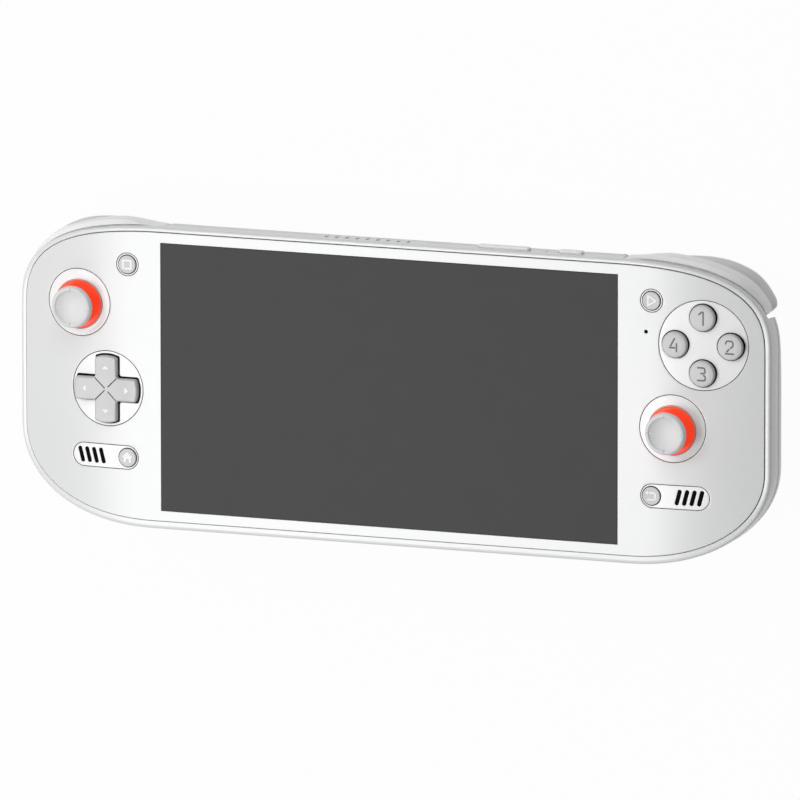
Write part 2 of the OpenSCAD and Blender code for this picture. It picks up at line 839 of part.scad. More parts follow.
// Centre line of a trigger spring: a leg, the coil and a second leg
coil_pitch = 2 * wire_r + 0.45;
coil_x = trigger_ear_in + ear_t + 1.2;
coil_leg = 8;
function coil_at(u) = [
    coil_x + coil_pitch * u,
    trigger_y + coil_r * sin(360 * u),
    trigger_z - coil_r * cos(360 * u)
];
coil_line = concat(
    [[coil_x, trigger_y - coil_leg / 4, trigger_z - coil_r]],
    [for (i = [0 : 16 * coil_turns]) coil_at(i / 16)],
    [[coil_x + coil_pitch * coil_turns, trigger_y + coil_leg, trigger_z - coil_r]]
);
echo("least gap between the turns of a spring", coil_pitch - 2 * wire_r);

module trigger_spring() {
    last = len(coil_line) - 1;
    color(steel)
        row_solid([for (i = [0 : last]) let (
            v = coil_line[min(last, i + 1)] - coil_line[max(0, i - 1)],
            w = v / norm(v),
            a = cross(w, [1, 0, 0]),
            n = a / norm(a),
            b = cross(w, n)
        ) [for (j = [0 : 5]) coil_line[i] + wire_r * (cos(60 * j) * n - sin(60 * j) * b)]]);
}

module left_trigger_spring() {
    mirror([1, 0, 0])
        trigger_spring();
}

module right_trigger_spring() {
    trigger_spring();
}

function pivot(p) = [p[0], p[1], top_z(p[0]) - pivot_d];
rim_z = skirt_rise + pivot_d;
ball_r = sqrt(skirt_r * skirt_r + rim_z * rim_z);

module stick_cap(p) {
    h = cap_rise + pivot_d;
    color([0.9, 0.9, 0.9])
        translate(pivot(p))
            rotate_extrude()
                polygon([
                    [0, -2.6], [post_r, -2.6], [post_r, rim_z + lay_gap], [3.2, rim_z + lay_gap],
                    [3.2, h - 3.3], [cap_r - 1.6, h - 3.1], [cap_r - 0.4, h - 2.5], [cap_r, h - 1.6],
                    [cap_r - 0.25, h - 0.7], [cap_r - 0.7, h - 0.15], [cap_r - 1.1, h],
                    [cap_r - 1.4, h - 0.15], [cap_r - 1.55, h - 0.5], [2.5, h - 0.9], [0, h - 0.9]
                ]);
}

module left_stick_cap() {
    stick_cap(stick_left);
}

module right_stick_cap() {
    stick_cap(stick_right);
}

module stick_skirt(p) {
    color([1, 0.26, 0.11])
        translate(pivot(p))
            difference() {
                intersection() {
                    sphere(ball_r, $fn = 96);
                    translate([0, 0, -0.2])
                        cylinder(h = rim_z + 0.2, r = ball_r + 1);
                }
                intersection() {
                    sphere(ball_r - 0.8, $fn = 96);
                    translate([0, 0, -1])
                        cylinder(h = rim_z + 1 - skirt_t, r = ball_r);
                }
                cylinder(h = rim_z + 1, r = post_r + 0.02);
            }
}

module left_stick_skirt() {
    stick_skirt(stick_left);
}

module right_stick_skirt() {
    stick_skirt(stick_right);
}

module stick_hub(p) {
    color(dark)
        translate(pivot(p))
            difference() {
                union() {
                    translate([-2.5, -2.5, -1.4])
                        cube([5, 5, 2.8]);
                    translate([0, 4, 0])
                        rotate([90, 0, 0])
                            cylinder(h = 8, r = 0.8);
                }
                translate([0, 0, -2])
                    cylinder(h = 4, r = post_r + run_gap);
            }
}

module left_stick_hub() {
    stick_hub(stick_left);
}

module right_stick_hub() {
    stick_hub(stick_right);
}

module stick_yoke(p) {
    color([0.3, 0.3, 0.32])
        translate(pivot(p))
            difference() {
                union() {
                    translate([-4.4, -4.2, -1.2])
                        cube([8.8, 8.4, 2.4]);
                    translate([-yoke_x, 0, 0])
                        rotate([0, 90, 0])
                            cylinder(h = 2 * yoke_x, r = 1);
                }
                translate([-3, -3, -2])
                    cube([6, 6, 4]);
                translate([0, 5, 0])
                    rotate([90, 0, 0])
                        cylinder(h = 10, r = 0.8 + run_gap);
            }
}

module left_stick_yoke() {
    stick_yoke(stick_left);
}

module right_stick_yoke() {
    stick_yoke(stick_right);
}

module stick_module(p) {
    color([0.2, 0.2, 0.21])
        translate(pivot(p))
            difference() {
                union() {
                    translate([-stick_box, -stick_box, -stick_box_d - stick_box_t])
                        cube([2 * stick_box, 2 * stick_box, stick_box_t]);
                    for (side = [-1, 1]) {
                        translate([side * (yoke_x - 0.6) - 0.7, -1.8, -stick_box_d - 1])
                            cube([1.4, 3.6, stick_box_d + 2.35]);
                        translate([-side * stick_arm, side * stick_arm, -stick_box_d - 1.2])
                            cylinder(h = 1.2, r = 2.2);
                        rotate(side * 90 + 45)
                            translate([0, -1.6, -stick_box_d - 1])
                                cube([stick_arm * sqrt(2), 3.2, 0.8]);
                    }
                }
                translate([-8, 0, 0])
                    rotate([0, 90, 0])
                        cylinder(h = 16, r = 1 + run_gap);
            }
}

module left_stick_module() {
    stick_module(stick_left);
}

module right_stick_module() {
    stick_module(stick_right);
}

// Ring in the plate, hollowed to the ball of the stick at q
module light_ring(p, q) {
    color([0.97, 0.97, 0.97])
        difference() {
            union() {
                disc(p, ring_r - seam, 0.05, bezel_d);
                disc(p, ring_r + flange_w, under_d, bezel_d);
            }
            translate(pivot(q)) {
                sphere(ball_r + seat_gap, $fn = 96);
                translate([0, 0, -reach])
                    cylinder(h = reach, r = ball_r + seat_gap);
            }
        }
}

module left_light_ring() {
    light_ring(ring_left, stick_left);
}

module right_light_ring() {
    light_ring(ring_right, stick_right);
}

module cross_area(extra) {
    intersection() {
        union() {
            square([pad_arm_w + 2 * extra, 40], center = true);
            square([40, pad_arm_w + 2 * extra], center = true);
        }
        circle(pad_r + extra);
    }
}

pad_z = top_z(low_x) - pad_pivot_d;

module direction_pad() {
    color([0.85, 0.85, 0.85])
        translate([pad_place[0], pad_place[1], pad_z])
            difference() {
                union() {
                    translate([0, 0, 1.4])
                        linear_extrude(pad_pivot_d + pad_rise - 1.4)
                            cross_area(0);
                    for (side = [-1, 1])
                        translate([side * 3.1 - 0.5, -1.3, -1.2])
                            cube([1, 2.6, 3]);
                }
                translate([-5, 0, 0])
                    rotate([0, 90, 0])
                        cylinder(h = 10, r = 0.8 + run_gap);
            }
}

module pad_rocker() {
    color(dark)
        translate([pad_place[0], pad_place[1], pad_z]) {
            translate([-3.6, 0, 0])
                rotate([0, 90, 0])
                    cylinder(h = 7.2, r = 0.8);
            translate([0, 3.7, 0])
                rotate([90, 0, 0])
                    cylinder(h = 7.4, r = 0.8);
            translate([-1.1, -1.1, -1.1])
                cube(2.2);
        }
}

module pad_base() {
    low = front_z - board_d + lay_gap;
    color(dark)
        difference() {
            union() {
                translate([pad_place[0], pad_place[1], low])
                    cylinder(h = 0.9, r = 11);
                for (side = [-1, 1])
                    translate([pad_place[0] - 1.5, pad_place[1] + side * 3.2 - 0.5, low])
                        cube([3, 1, pad_z + 1 - low]);
            }
            translate([pad_place[0], pad_place[1] + 5, pad_z])
                rotate([90, 0, 0])
                    cylinder(h = 10, r = 0.8 + run_gap);
        }
}

module pad_membrane() {
    low = front_z - board_d + lay_gap + 0.9 + 0.05;
    color([0.2, 0.2, 0.2])
        translate([pad_place[0], pad_place[1], low]) {
            difference() {
                cylinder(h = 0.7, r = 11);
                translate([0, 0, -1])
                    cylinder(h = 3, r = 5.2);
            }
            for (a = [0 : 90 : 270])
                rotate(a)
                    translate([8, 0, 0])
                        cylinder(h = pad_z + 0.45 - low, r1 = 2.4, r2 = 1.6);
        }
}

module pad_bezel() {
    color([0.9, 0.9, 0.9])
        difference() {
            union() {
                disc(pad_place, pad_ring_r - seam, 0.05, bezel_d);
                disc(pad_place, pad_ring_r + flange_w, under_d, bezel_d);
            }
            translate([pad_place[0], pad_place[1], -1])
                linear_extrude(front_z + 20)
                    cross_area(pad_gap);
        }
}

function face_at(a) = [face_place[0] + face_pitch * cos(a), face_place[1] + face_pitch * sin(a)];

module face_button(a) {
    p = face_at(a);
    z = top_z(p[0]);
    color([0.88, 0.88, 0.88])
        translate([p[0], p[1], z - bezel_d - lay_gap - face_slack(a) - 1])
            union() {
                cylinder(h = 1, r = face_r + 0.9);
                cylinder(h = face_rise + bezel_d + lay_gap + face_slack(a) + 1, r = face_r);
            }
}

// Extra depth of a button flange so that it clears the sloping underside of the bezel
function face_slack(a) = top_z(face_at(a)[0]) - top_z(face_at(a)[0] + face_r + 1);
function face_foot(a) = top_z(face_at(a)[0]) - bezel_d - lay_gap - face_slack(a) - 1;

module face_button_top() {
    face_button(90);
}

module face_button_right() {
    face_button(0);
}

module face_button_bottom() {
    face_button(270);
}

module face_button_left() {
    face_button(180);
}

module face_button_bezel() {
    color([0.9, 0.9, 0.9])
        difference() {
            union() {
                disc(face_place, face_ring_r - seam, 0.05, bezel_d);
                disc(face_place, face_ring_r + flange_w, under_d, bezel_d);
            }
            for (a = [0 : 90 : 270])
                column(face_at(a), face_r + slide_gap);
        }
}

module face_button_membrane() {
    low = front_z - board_d + lay_gap;
    color([0.2, 0.2, 0.2]) {
        translate([face_place[0], face_place[1], low])
            cylinder(h = 0.5, r = 13.5);
        for (a = [0 : 90 : 270])
            translate([face_at(a)[0], face_at(a)[1], low])
                cylinder(h = face_foot(a) - face_travel - 0.1 - low, r1 = 3, r2 = 2.2);
    }
}

module menu_button(p) {
    z = top_z(p[0]) - bezel_d - lay_gap - 0.1;
    color([0.9, 0.9, 0.9])
        translate([p[0], p[1], 0]) {
            translate([0, 0, z - 0.8])
                cylinder(h = 0.8, r = menu_r + 0.6);
            translate([0, 0, z - 0.8])
                cylinder(h = top_z(p[0]) + menu_rise - z + 0.8, r = menu_r);
        }
}

home_x = pill_in + pill_h / 2 - 0.2;

module select_button() {
    menu_button([-menu_x, menu_y]);
}

module start_button() {
    menu_button([menu_x, menu_y]);
}

module home_button() {
    menu_button([-home_x, -pill_y]);
}

module return_button() {
    menu_button([home_x, -pill_y]);
}

module menu_button_rings() {
    color([0.9, 0.9, 0.9])
        both()
            difference() {
                union() {
                    disc([menu_x, menu_y], menu_ring_r - seam, 0.05, bezel_d);
                    disc([menu_x, menu_y], menu_ring_r + flange_w, under_d, bezel_d);
                }
                column([menu_x, menu_y], menu_r + slide_gap);
            }
}

module speaker_bezel() {
    color([0.9, 0.9, 0.9])
        difference() {
            union() {
                intersection() {
                    layer(0.05, bezel_d);
                    pill_column(-seam);
                }
                intersection() {
                    layer(under_d, bezel_d);
                    pill_column(flange_w);
                }
            }
            column([home_x, -pill_y], menu_r + slide_gap);
            for (i = [0 : slot_count - 1])
                translate([pill_out - 3 - i * slot_pitch, -pill_y, -1])
                    linear_extrude(front_z + 20)
                        rotate(90 - slot_lean)
                            pill_area(slot_l, slot_w);
        }
}

module left_speaker_bezel() {
    mirror([1, 0, 0])
        speaker_bezel();
}

module right_speaker_bezel() {
    speaker_bezel();
}

speaker_d = bezel_d + drop(pill_out) + 0.2;
speaker_w = slot_count * slot_pitch + 3.4;
speaker_x = pill_out + 0.4 - speaker_w;

module speaker_meshes() {
    color([0.03, 0.03, 0.03])
        both()
            translate([speaker_x, -pill_y - 4.5, front_z - speaker_d - 0.3])
                cube([speaker_w, 9, 0.3]);
}

module speakers() {
    low = front_z - board_d + lay_gap;
    color(dark)
        both()
            translate([speaker_x, -pill_y - 6, low])
                difference() {
                    cube([speaker_w, 12, front_z - speaker_d - 0.4 - low]);
                    translate([speaker_w / 2, 6, 1.5])
                        cylinder(h = 10, r = 4);
                }
}

key_y = half_h + frame_top;
key_in_y = half_h - frame_in;
key_foot_t = 0.8;
switch_gap = 0.3;
switch_y = key_in_y - lay_gap - key_foot_t - power_travel - switch_gap;

module power_button() {
    color([0.95, 0.95, 0.95])
        translate([power_x, 0, front_z - key_d])
            rotate([-90, 0, 0]) {
                translate([0, 0, key_in_y - lay_gap])
                    linear_extrude(key_y + key_rise - key_in_y + lay_gap)
                        pill_area(power_l, key_w);
                translate([0, 0, key_in_y - lay_gap - key_foot_t])
                    linear_extrude(key_foot_t)
                        pill_area(power_l + 1.6, key_w + 1);
            }
}

volume_axis = key_in_y - 2.6;

module volume_rocker() {
    color([0.95, 0.95, 0.95])
        translate([volume_x, 0, front_z - key_d]) {
            rotate([-90, 0, 0]) {
                translate([0, 0, key_in_y - 1.2])
                    linear_extrude(key_y + key_rise - key_in_y + 1.2)
                        pill_area(volume_l, key_w);
                translate([0, 0, key_in_y - 1.2])
                    linear_extrude(0.7)
                        pill_area(volume_l + 1.4, key_w + 1);
            }
            translate([-0.7, volume_axis, -key_w / 2])
                cube([1.4, 1.6, key_w]);
            translate([0, volume_axis, -key_w / 2 - 0.8])
                cylinder(h = key_w + 1.6, r = 0.9);
        }
}

module side_key_board() {
    y = volume_axis - 2.5;
    color([0.1, 0.35, 0.2])
        difference() {
            union() {
                translate([volume_x - 11, y, front_z - key_d - 1.9])
                    cube([power_x - volume_x + 17, 1, 3.6]);
                for (side = [-1, 1])
                    translate([volume_x - 1.7, y, front_z - key_d + side * (key_w / 2 + 0.5) - 0.3])
                        cube([3.4, 3.6, 0.6]);
                for (x = [volume_x - 6, volume_x + 6, power_x])
                    translate([x - 1, y + 0.5, front_z - key_d - 1])
                        cube([2, switch_y - y - 0.5, 1.8]);
            }
            translate([volume_x, volume_axis, front_z - key_d - 5])
                cylinder(h = 10, r = 0.9 + run_gap);
        }
}

module main_board() {
    z = front_z - main_d - board_t;
    color([0.1, 0.35, 0.2])
        difference() {
            union() {
                translate([main_x, main_low, z])
                    cube([main_w, main_h, board_t]);
                translate([port_x - 8, main_low - 5, z])
                    cube([main_x + 9 - port_x, 9, board_t]);
                translate([main_x + 16, -2, z - 1.2])
                    cube([28, 20, 1.3]);
                translate([main_x + 46, 4, z - 1])
                    cube([12, 16, 1.1]);
                translate([main_x + 22, main_low + 14, z - 1.4])
                    cube([14, 8, 1.5]);
            }
            translate([jack_x - 4.2, main_low - 10, z - 2])
                cube([8.4, 16, 5]);
        }
}

module board_area() {
    difference() {
        intersection() {
            polygon(outline(-6, -6, -6));
            translate([edge_x + 4.1, -60])
                square([60, 100]);
        }
        for (p = screws)
            translate(p)
                circle(boss_r + 0.4);
        translate([edge_x + 4.1, half_h - 10.9])
            square([5, 10]);
    }
}

module stick_gap(p) {
    translate(p) {
        circle(stick_box * sqrt(2) + 0.6);
        rotate(-45)
            square([2 * stick_arm * sqrt(2) + 6, 6], center = true);
    }
}

module button_boards() {
    low = front_z - board_d - board_t;
    color([0.1, 0.35, 0.2]) {
        translate([0, 0, low]) {
            linear_extrude(board_t)
                difference() {
                    mirror([1, 0])
                        board_area();
                    stick_gap(stick_left);
                }
            linear_extrude(board_t)
                difference() {
                    board_area();
                    stick_gap(stick_right);
                }
        }
        for (x = [menu_x, home_x], side = [-1, 1])
            translate([side * x, x == menu_x ? menu_y : -pill_y, low + board_t / 2])
                cylinder(h = menu_foot(x) - low - board_t / 2, r = 1.4);
        translate([-edge_x - 6.5, lead_y, front_z - battery_d - battery_t - 0.5])
            cube([edge_x + main_x + 8.5, lead_w, lead_t]);
        translate([-edge_x - 6.5, lead_y, front_z - battery_d - battery_t - 0.5])
            cube([lead_t, lead_w, battery_d + battery_t + 0.5 - board_d - board_t / 2]);
        translate([main_x + main_w - 1, lead_y, low - 0.7])
            cube([edge_x + 6.9 - main_x - main_w, lead_w, lead_t]);
        translate([edge_x + 5.9 - lead_t, lead_y, low - 0.7])
            cube([lead_t, lead_w, 1.2]);
    }
}

function menu_foot(x) = top_z(x) - bezel_d - lay_gap - 0.9 - menu_travel - 0.1;
battery_d = chassis_d + chassis_t + lay_gap;

module battery() {
    color([0.15, 0.15, 0.17])
        translate([main_x - 4 - battery_l, chassis_low + 0.3, front_z - battery_d - battery_t])
            cube([battery_l, battery_h, battery_t]);
}

fan_half_w = fan_r + 5;
fan_half_h = fan_r + 2.8;

module fan_housing() {
    color(dark)
        translate([fan_x, fan_y, front_z - fan_d - fan_t])
            difference() {
                translate([-fan_half_w, -fan_half_h, 0])
                    cube([2 * fan_half_w, 2 * fan_half_h, fan_t]);
                translate([0, 0, 1])
                    cylinder(h = fan_t - 2, r = fan_r + 0.8);
                translate([-fan_r, 0, 1])
                    cube([2 * fan_r, 40, fan_t - 2]);
                translate([0, 0, -1])
                    cylinder(h = 3, r = fan_r - 4);
                translate([0, 0, 1])
                    cylinder(h = fan_t - 1.4, r = 1 + run_gap);
            }
}

module fan_rotor() {
    color([0.2, 0.2, 0.22])
        translate([fan_x, fan_y, front_z - fan_d - fan_t]) {
            translate([0, 0, 1.4])
                cylinder(h = fan_t - 2.8, r = 7);
            translate([0, 0, 1.5])
                cylinder(h = fan_t - 2.2, r = 1);
            for (i = [0 : fan_blades - 1])
                rotate(360 * i / fan_blades)
                    translate([6.5, -0.4, 1.6])
                        cube([fan_r - 6.5, 0.8, fan_t - 3.2]);
        }
}

fin_y = fan_y + fan_half_h + 0.4;
fin_l = half_h + frame_top - shell_t - edge_round * 0.36 - fin_y;
fin_low = front_z - fan_d - fan_t + 0.4;
pipe_x = main_x + 27;

module heatsink() {
    color([0.78, 0.5, 0.34])
        union() {
            for (i = [0 : fin_count - 1])
                translate([fan_x - fan_r + i * (2 * fan_r - 0.5) / (fin_count - 1), fin_y, fin_low])
                    cube([0.5, fin_l, fan_t - 0.8]);
            translate([fan_x - fan_r, fin_y + 1, fin_low])
                cube([pipe_x + 6 - fan_x + fan_r, 5, 2]);
            translate([pipe_x, 8, fin_low])
                cube([6, fin_y - 2, 2]);
            translate([pipe_x - 9, 0, fin_low])
                cube([24, 16, fin_top - fin_low]);
        }
}

fin_top = front_z - main_d - board_t - 1.25;

module usb_c_port() {
    y = half_h + frame_low - 0.3;
    color(steel)
        translate([port_x, -y, front_z - key_d - 0.4])
            rotate([-90, 0, 0]) {
                difference() {
                    linear_extrude(7.4)
                        pill_area(port_w, port_h);
                    translate([0, 0, -1])
                        linear_extrude(7.4)
                            pill_area(port_w - 0.6, port_h - 0.7);
                }
                translate([-3.35, -0.35, 1])
                    cube([6.7, 0.7, 6]);
            }
}

module headphone_jack() {
    y = half_h + frame_low - 0.2;
    color(dark)
        translate([jack_x, -y, front_z - jack_d])
            rotate([-90, 0, 0])
                difference() {
                    union() {
                        cylinder(h = jack_l + 1, r = jack_out_r);
                        translate([-3.2, -jack_out_r, 4.2])
                            cube([6.4, 2 * jack_out_r, jack_l - 3.2]);
                    }
                    translate([0, 0, -1])
                        cylinder(h = jack_l + 1, r = jack_r);
                }
}

module card_slot() {
    y = half_h + frame_low - 3.6;
    color(steel)
        translate([card_x, -y, front_z - card_d])
            difference() {
                translate([-card_w / 2 - 1.2, 0, -0.95])
                    cube([card_w + 2.4, 15, 1.9]);
                translate([-card_w / 2, -1, -0.45])
                    cube([card_w, 15, 0.9]);
            }
}

module rumble_motors() {
    color(steel)
        both()
            translate([motor_place[0], motor_place[1], front_z - motor_d - motor_h])
                cylinder(h = motor_h, r = 5);
}

module back_screws() {
    color(steel)
        both()
            for (p = screws)
                translate([p[0], p[1], front_z - seat_d - lay_gap]) {
                    difference() {
                        translate([0, 0, -1.4])
                            cylinder(h = 1.4, r = screw_head_r);
                        translate([0, 0, -2])
                            cylinder(h = 1.4, r = 1, $fn = 6);
                    }
                    translate([0, 0, -0.1])
                        cylinder(h = 9.5, r = screw_r);
                }
}

place() front_shell();
place() mid_frame();
place() back_shell();
place() display_glass();
place() display_panel();
place() chassis_plate();
place() left_shoulder_button();
place() right_shoulder_button();
place() left_trigger();
place() right_trigger();
place() trigger_brackets();
place() hinge_pins();
place() left_trigger_spring();
place() right_trigger_spring();
place() left_stick_cap();
place() right_stick_cap();
place() left_stick_skirt();
place() right_stick_skirt();
place() left_stick_hub();
place() right_stick_hub();
place() left_stick_yoke();
place() right_stick_yoke();
place() left_stick_module();
place() right_stick_module();
place() left_light_ring();
place() right_light_ring();
place() direction_pad();
place() pad_rocker();
place() pad_base();
place() pad_membrane();
place() pad_bezel();
place() face_button_top();
place() face_button_right();
place() face_button_bottom();
place() face_button_left();
place() face_button_bezel();
place() face_button_membrane();
place() select_button();
place() start_button();
place() home_button();
place() return_button();
place() menu_button_rings();
place() left_speaker_bezel();
place() right_speaker_bezel();
place() speaker_meshes();
place() speakers();
place() power_button();
place() volume_rocker();
place() side_key_board();
place() main_board();
place() button_boards();
place() battery();
place() fan_housing();
place() fan_rotor();
place() heatsink();
place() usb_c_port();
place() headphone_jack();
place() card_slot();
place() rumble_motors();
place() back_screws();
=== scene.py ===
import math
import bmesh
import bpy
import numpy as np
from mathutils import Euler, Matrix, Vector


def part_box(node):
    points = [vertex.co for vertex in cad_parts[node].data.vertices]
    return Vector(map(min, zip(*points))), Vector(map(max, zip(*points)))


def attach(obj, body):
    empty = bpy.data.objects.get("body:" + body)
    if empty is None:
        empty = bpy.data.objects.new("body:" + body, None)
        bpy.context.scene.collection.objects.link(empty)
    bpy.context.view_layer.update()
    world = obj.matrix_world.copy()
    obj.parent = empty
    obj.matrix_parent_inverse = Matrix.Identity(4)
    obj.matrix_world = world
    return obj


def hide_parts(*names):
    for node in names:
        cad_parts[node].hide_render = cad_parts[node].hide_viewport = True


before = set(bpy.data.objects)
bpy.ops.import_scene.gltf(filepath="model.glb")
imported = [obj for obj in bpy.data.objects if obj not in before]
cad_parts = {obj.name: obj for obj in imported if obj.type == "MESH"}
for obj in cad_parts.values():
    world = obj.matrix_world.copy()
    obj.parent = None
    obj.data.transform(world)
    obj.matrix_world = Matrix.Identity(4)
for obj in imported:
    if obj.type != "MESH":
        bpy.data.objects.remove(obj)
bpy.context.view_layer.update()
print("frame loaded:", len(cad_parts), "nodes")

mm = 0.001
weld = 0.0001  # mm; points nearer than this become one
glassSink = 0.02  # mm; the glass lies a hair below the plate
glassLow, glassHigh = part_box("display_glass")
liftY = (glassLow.y + glassHigh.y) / 2 / mm  # the body's middle in the frame, in mm
frontZ = glassHigh.z / mm + glassSink
squareSigns = ((-1, -1), (1, -1), (1, 1), (-1, 1))

body = {
    "halfLength": 125.2, "halfHeight": 46.9,
    "topCorner": (51.6, 28.0, 2.75), "lowCorner": (45.0, 29.0, 2.15),  # width, height, fullness
    "wingStart": 87.8, "wingRadius": 169.0,
    "plateDepth": 1.8, "underDepth": 1.9, "bezelDepth": 2.9, "bezelSink": 0.04, "seam": 0.2, "seamShadeDepth": 0.4,
    "edge": 0.14, "fineEdge": 0.12, "straightSteps": 14, "arcSteps": 40, "sideSteps": 6,
}


def drop(x):
    u = np.maximum(0.0, np.abs(x) - body["wingStart"])
    return body["wingRadius"] - np.sqrt(body["wingRadius"] ** 2 - u * u)


def topZ(x):
    return frontZ - drop(x)


def smooth(a, b, x):
    u = np.clip((x - a) / (b - a), 0.0, 1.0)
    return u * u * (3 - 2 * u)


def mix(a, b, u):
    return a + (b - a) * u


def evenShare(u, fullness):
    # spreads the points of a full corner evenly along it
    power = fullness / 2
    return 0.5 * (2 * u) ** power if u < 0.5 else 1 - 0.5 * (2 - 2 * u) ** power


def topPoint(t, side, top):
    w, h, n = body["topCorner"]
    c, s = max(0.0, math.cos(t)), max(0.0, math.sin(t))
    return (body["halfLength"] - w + (w + side) * c ** (2 / n),
            body["halfHeight"] - h + (h + top) * s ** (2 / n))


def lowPoint(t, side, low):
    w, h, n = body["lowCorner"]
    c, s = max(0.0, math.cos(t)), max(0.0, math.sin(t))
    return (body["halfLength"] - w + (w + side) * c ** (2 / n),
            h - body["halfHeight"] - (h + low) * s ** (2 / n))


def outlineLoop(side=0.0, top=0.0, low=0.0):
    straight, arc, flank = body["straightSteps"], body["arcSteps"], body["sideSteps"]
    quarter = math.pi / 2
    topFlat = body["halfLength"] - body["topCorner"][0]
    lowFlat = body["halfLength"] - body["lowCorner"][0]
    yHigh = body["halfHeight"] - body["topCorner"][1]
    yLow = body["lowCorner"][1] - body["halfHeight"]
    half = [(topFlat * i / straight, body["halfHeight"] + top) for i in range(straight)]
    for i in range(arc + 1):
        half.append(topPoint(quarter * (1 - evenShare(i / arc, body["topCorner"][2])), side, top))
    for i in range(1, flank + 1):
        half.append((body["halfLength"] + side, mix(yHigh, yLow, i / (flank + 1))))
    for i in range(arc + 1):
        half.append(lowPoint(quarter * evenShare(i / arc, body["lowCorner"][2]), side, low))
    half += [(lowFlat * i / straight, -body["halfHeight"] - low) for i in range(straight - 1, -1, -1)]
    return np.array(half + [(-x, y) for x, y in half[-2:0:-1]])


plateLoop = outlineLoop()


# mesh helpers, all in millimetres of the body's own frame
def newObject(name, data):
    obj = bpy.data.objects.new(name, data)
    bpy.context.scene.collection.objects.link(obj)
    return obj


def makePiece(name, points, faces):
    mesh = bpy.data.meshes.new(name)
    coords = (np.asarray(points, float) + [0, liftY, 0]) * mm
    mesh.from_pydata(coords.tolist(), [], [list(f) for f in faces])
    tidyMesh(mesh)
    return newObject(name, mesh)


def tidyMesh(mesh):
    shape = bmesh.new()
    shape.from_mesh(mesh)
    bmesh.ops.remove_doubles(shape, verts=shape.verts, dist=weld * mm)
    bmesh.ops.recalc_face_normals(shape, faces=shape.faces)
    shape.to_mesh(mesh)
    shape.free()


def evaluatedMesh(obj):
    graph = bpy.context.evaluated_depsgraph_get()
    return bpy.data.meshes.new_from_object(obj.evaluated_get(graph))


def applyModifiers(obj):
    mesh = evaluatedMesh(obj)
    obj.modifiers.clear()
    old = obj.data
    obj.data = mesh
    bpy.data.meshes.remove(old)
    return obj


def cutWith(obj, cutter, how="DIFFERENCE"):
    step = obj.modifiers.new("cut", "BOOLEAN")
    step.operation = how
    step.solver = "EXACT"
    step.object = cutter
    applyModifiers(obj)
    bpy.data.objects.remove(cutter)
    return obj


def joinPieces(name, pieces):
    shape = bmesh.new()
    for piece in pieces:
        shape.from_mesh(piece.data)
        bpy.data.objects.remove(piece)
    mesh = bpy.data.meshes.new(name)
    shape.to_mesh(mesh)
    shape.free()
    return newObject(name, mesh)


def gridFaces(rows, columns, closeRows=False, closeColumns=True):
    faces = []
    for i in range(rows if closeRows else rows - 1):
        for j in range(columns if closeColumns else columns - 1):
            a, b = i * columns, (i + 1) % rows * columns
            k = (j + 1) % columns
            faces.append((a + j, a + k, b + k, b + j))
    return faces


def lathePiece(name, profile, centre, segments=128, closed=False, bend=None):
    # profile is (radius, height); an open one starts and ends on the axis
    points, faces = [], []
    ring = 2 * np.pi * np.arange(segments) / segments
    for radius, height in profile:
        for a in ring:
            points.append((radius * math.cos(a), radius * math.sin(a), height))
    points = np.array(points)
    if bend is not None:
        points = bend(points)
    points = points + centre
    return makePiece(name, points, gridFaces(len(profile), segments, closeRows=closed))


def roundPath(corners, closed=True, steps=6, most=0.49):
    # corners are (x, y, radius); each one is rounded by an arc, over at most this share of a side
    path, count = [], len(corners)
    for i, (x, y, radius) in enumerate(corners):
        here = Vector((x, y))
        if radius <= 0 or (not closed and i in (0, count - 1)):
            path.append((x, y))
            continue
        before = Vector(corners[i - 1][:2]) - here
        after = Vector(corners[(i + 1) % count][:2]) - here
        angle = before.angle(after)
        reach = min(radius / math.tan(angle / 2), most * before.length, most * after.length)
        start, end = here + before.normalized() * reach, here + after.normalized() * reach
        for k in range(steps + 1):
            u = k / steps
            point = start * (1 - u) ** 2 + here * 2 * u * (1 - u) + end * u * u
            path.append((point.x, point.y))
    return path


def turned(path, angle):
    c, s = math.cos(angle), math.sin(angle)
    return [(c * x - s * y, s * x + c * y) for x, y in path]


def shifted(path, place):
    return [(x + place[0], y + place[1]) for x, y in path]


def rectangleCorners(halfWidth, halfHeight, radius=0.0):
    return [(sx * halfWidth, sy * halfHeight, radius) for sx, sy in squareSigns]


def circlePath(radius, x=0.0, y=0.0, steps=128):
    ring = [2 * math.pi * k / steps for k in range(steps)]
    return [(x + radius * math.cos(a), y + radius * math.sin(a)) for a in ring]


def pillPath(width, height, x=0.0, y=0.0, lean=0.0, steps=24):
    radius = min(width, height) / 2
    straight = max(width, height) / 2 - radius
    path = []
    for k in range(2 * steps):
        a = math.pi * (k + 0.5) / steps
        path.append((math.copysign(straight, math.cos(a)) + radius * math.cos(a), radius * math.sin(a)))
    return shifted(turned(path, lean + (math.pi / 2 if height > width else 0.0)), (x, y))


def strokePath(points, width, steps=8):
    # outline of a pen stroke with round ends
    line = [Vector(p) for p in points]
    left, right = [], []
    for i, p in enumerate(line):
        ahead = (line[min(i + 1, len(line) - 1)] - line[max(i - 1, 0)]).normalized()
        if 0 < i < len(line) - 1:
            cosine = ahead.dot((line[i + 1] - p).normalized())
            ahead = ahead / max(0.5, cosine)
        normal = Vector((-ahead.y, ahead.x)) * width / 2
        left.append(p + normal)
        right.append(p - normal)

    def cap(middle, start):
        arm = start - middle
        arc = []
        for k in range(1, steps):
            a = -math.pi * k / steps
            arc.append(middle + Vector((arm.x * math.cos(a) - arm.y * math.sin(a),
                                        arm.x * math.sin(a) + arm.y * math.cos(a))))
        return arc

    path = left + cap(line[-1], left[-1]) + right[::-1] + cap(line[0], right[0])
    return [(p.x, p.y) for p in path]


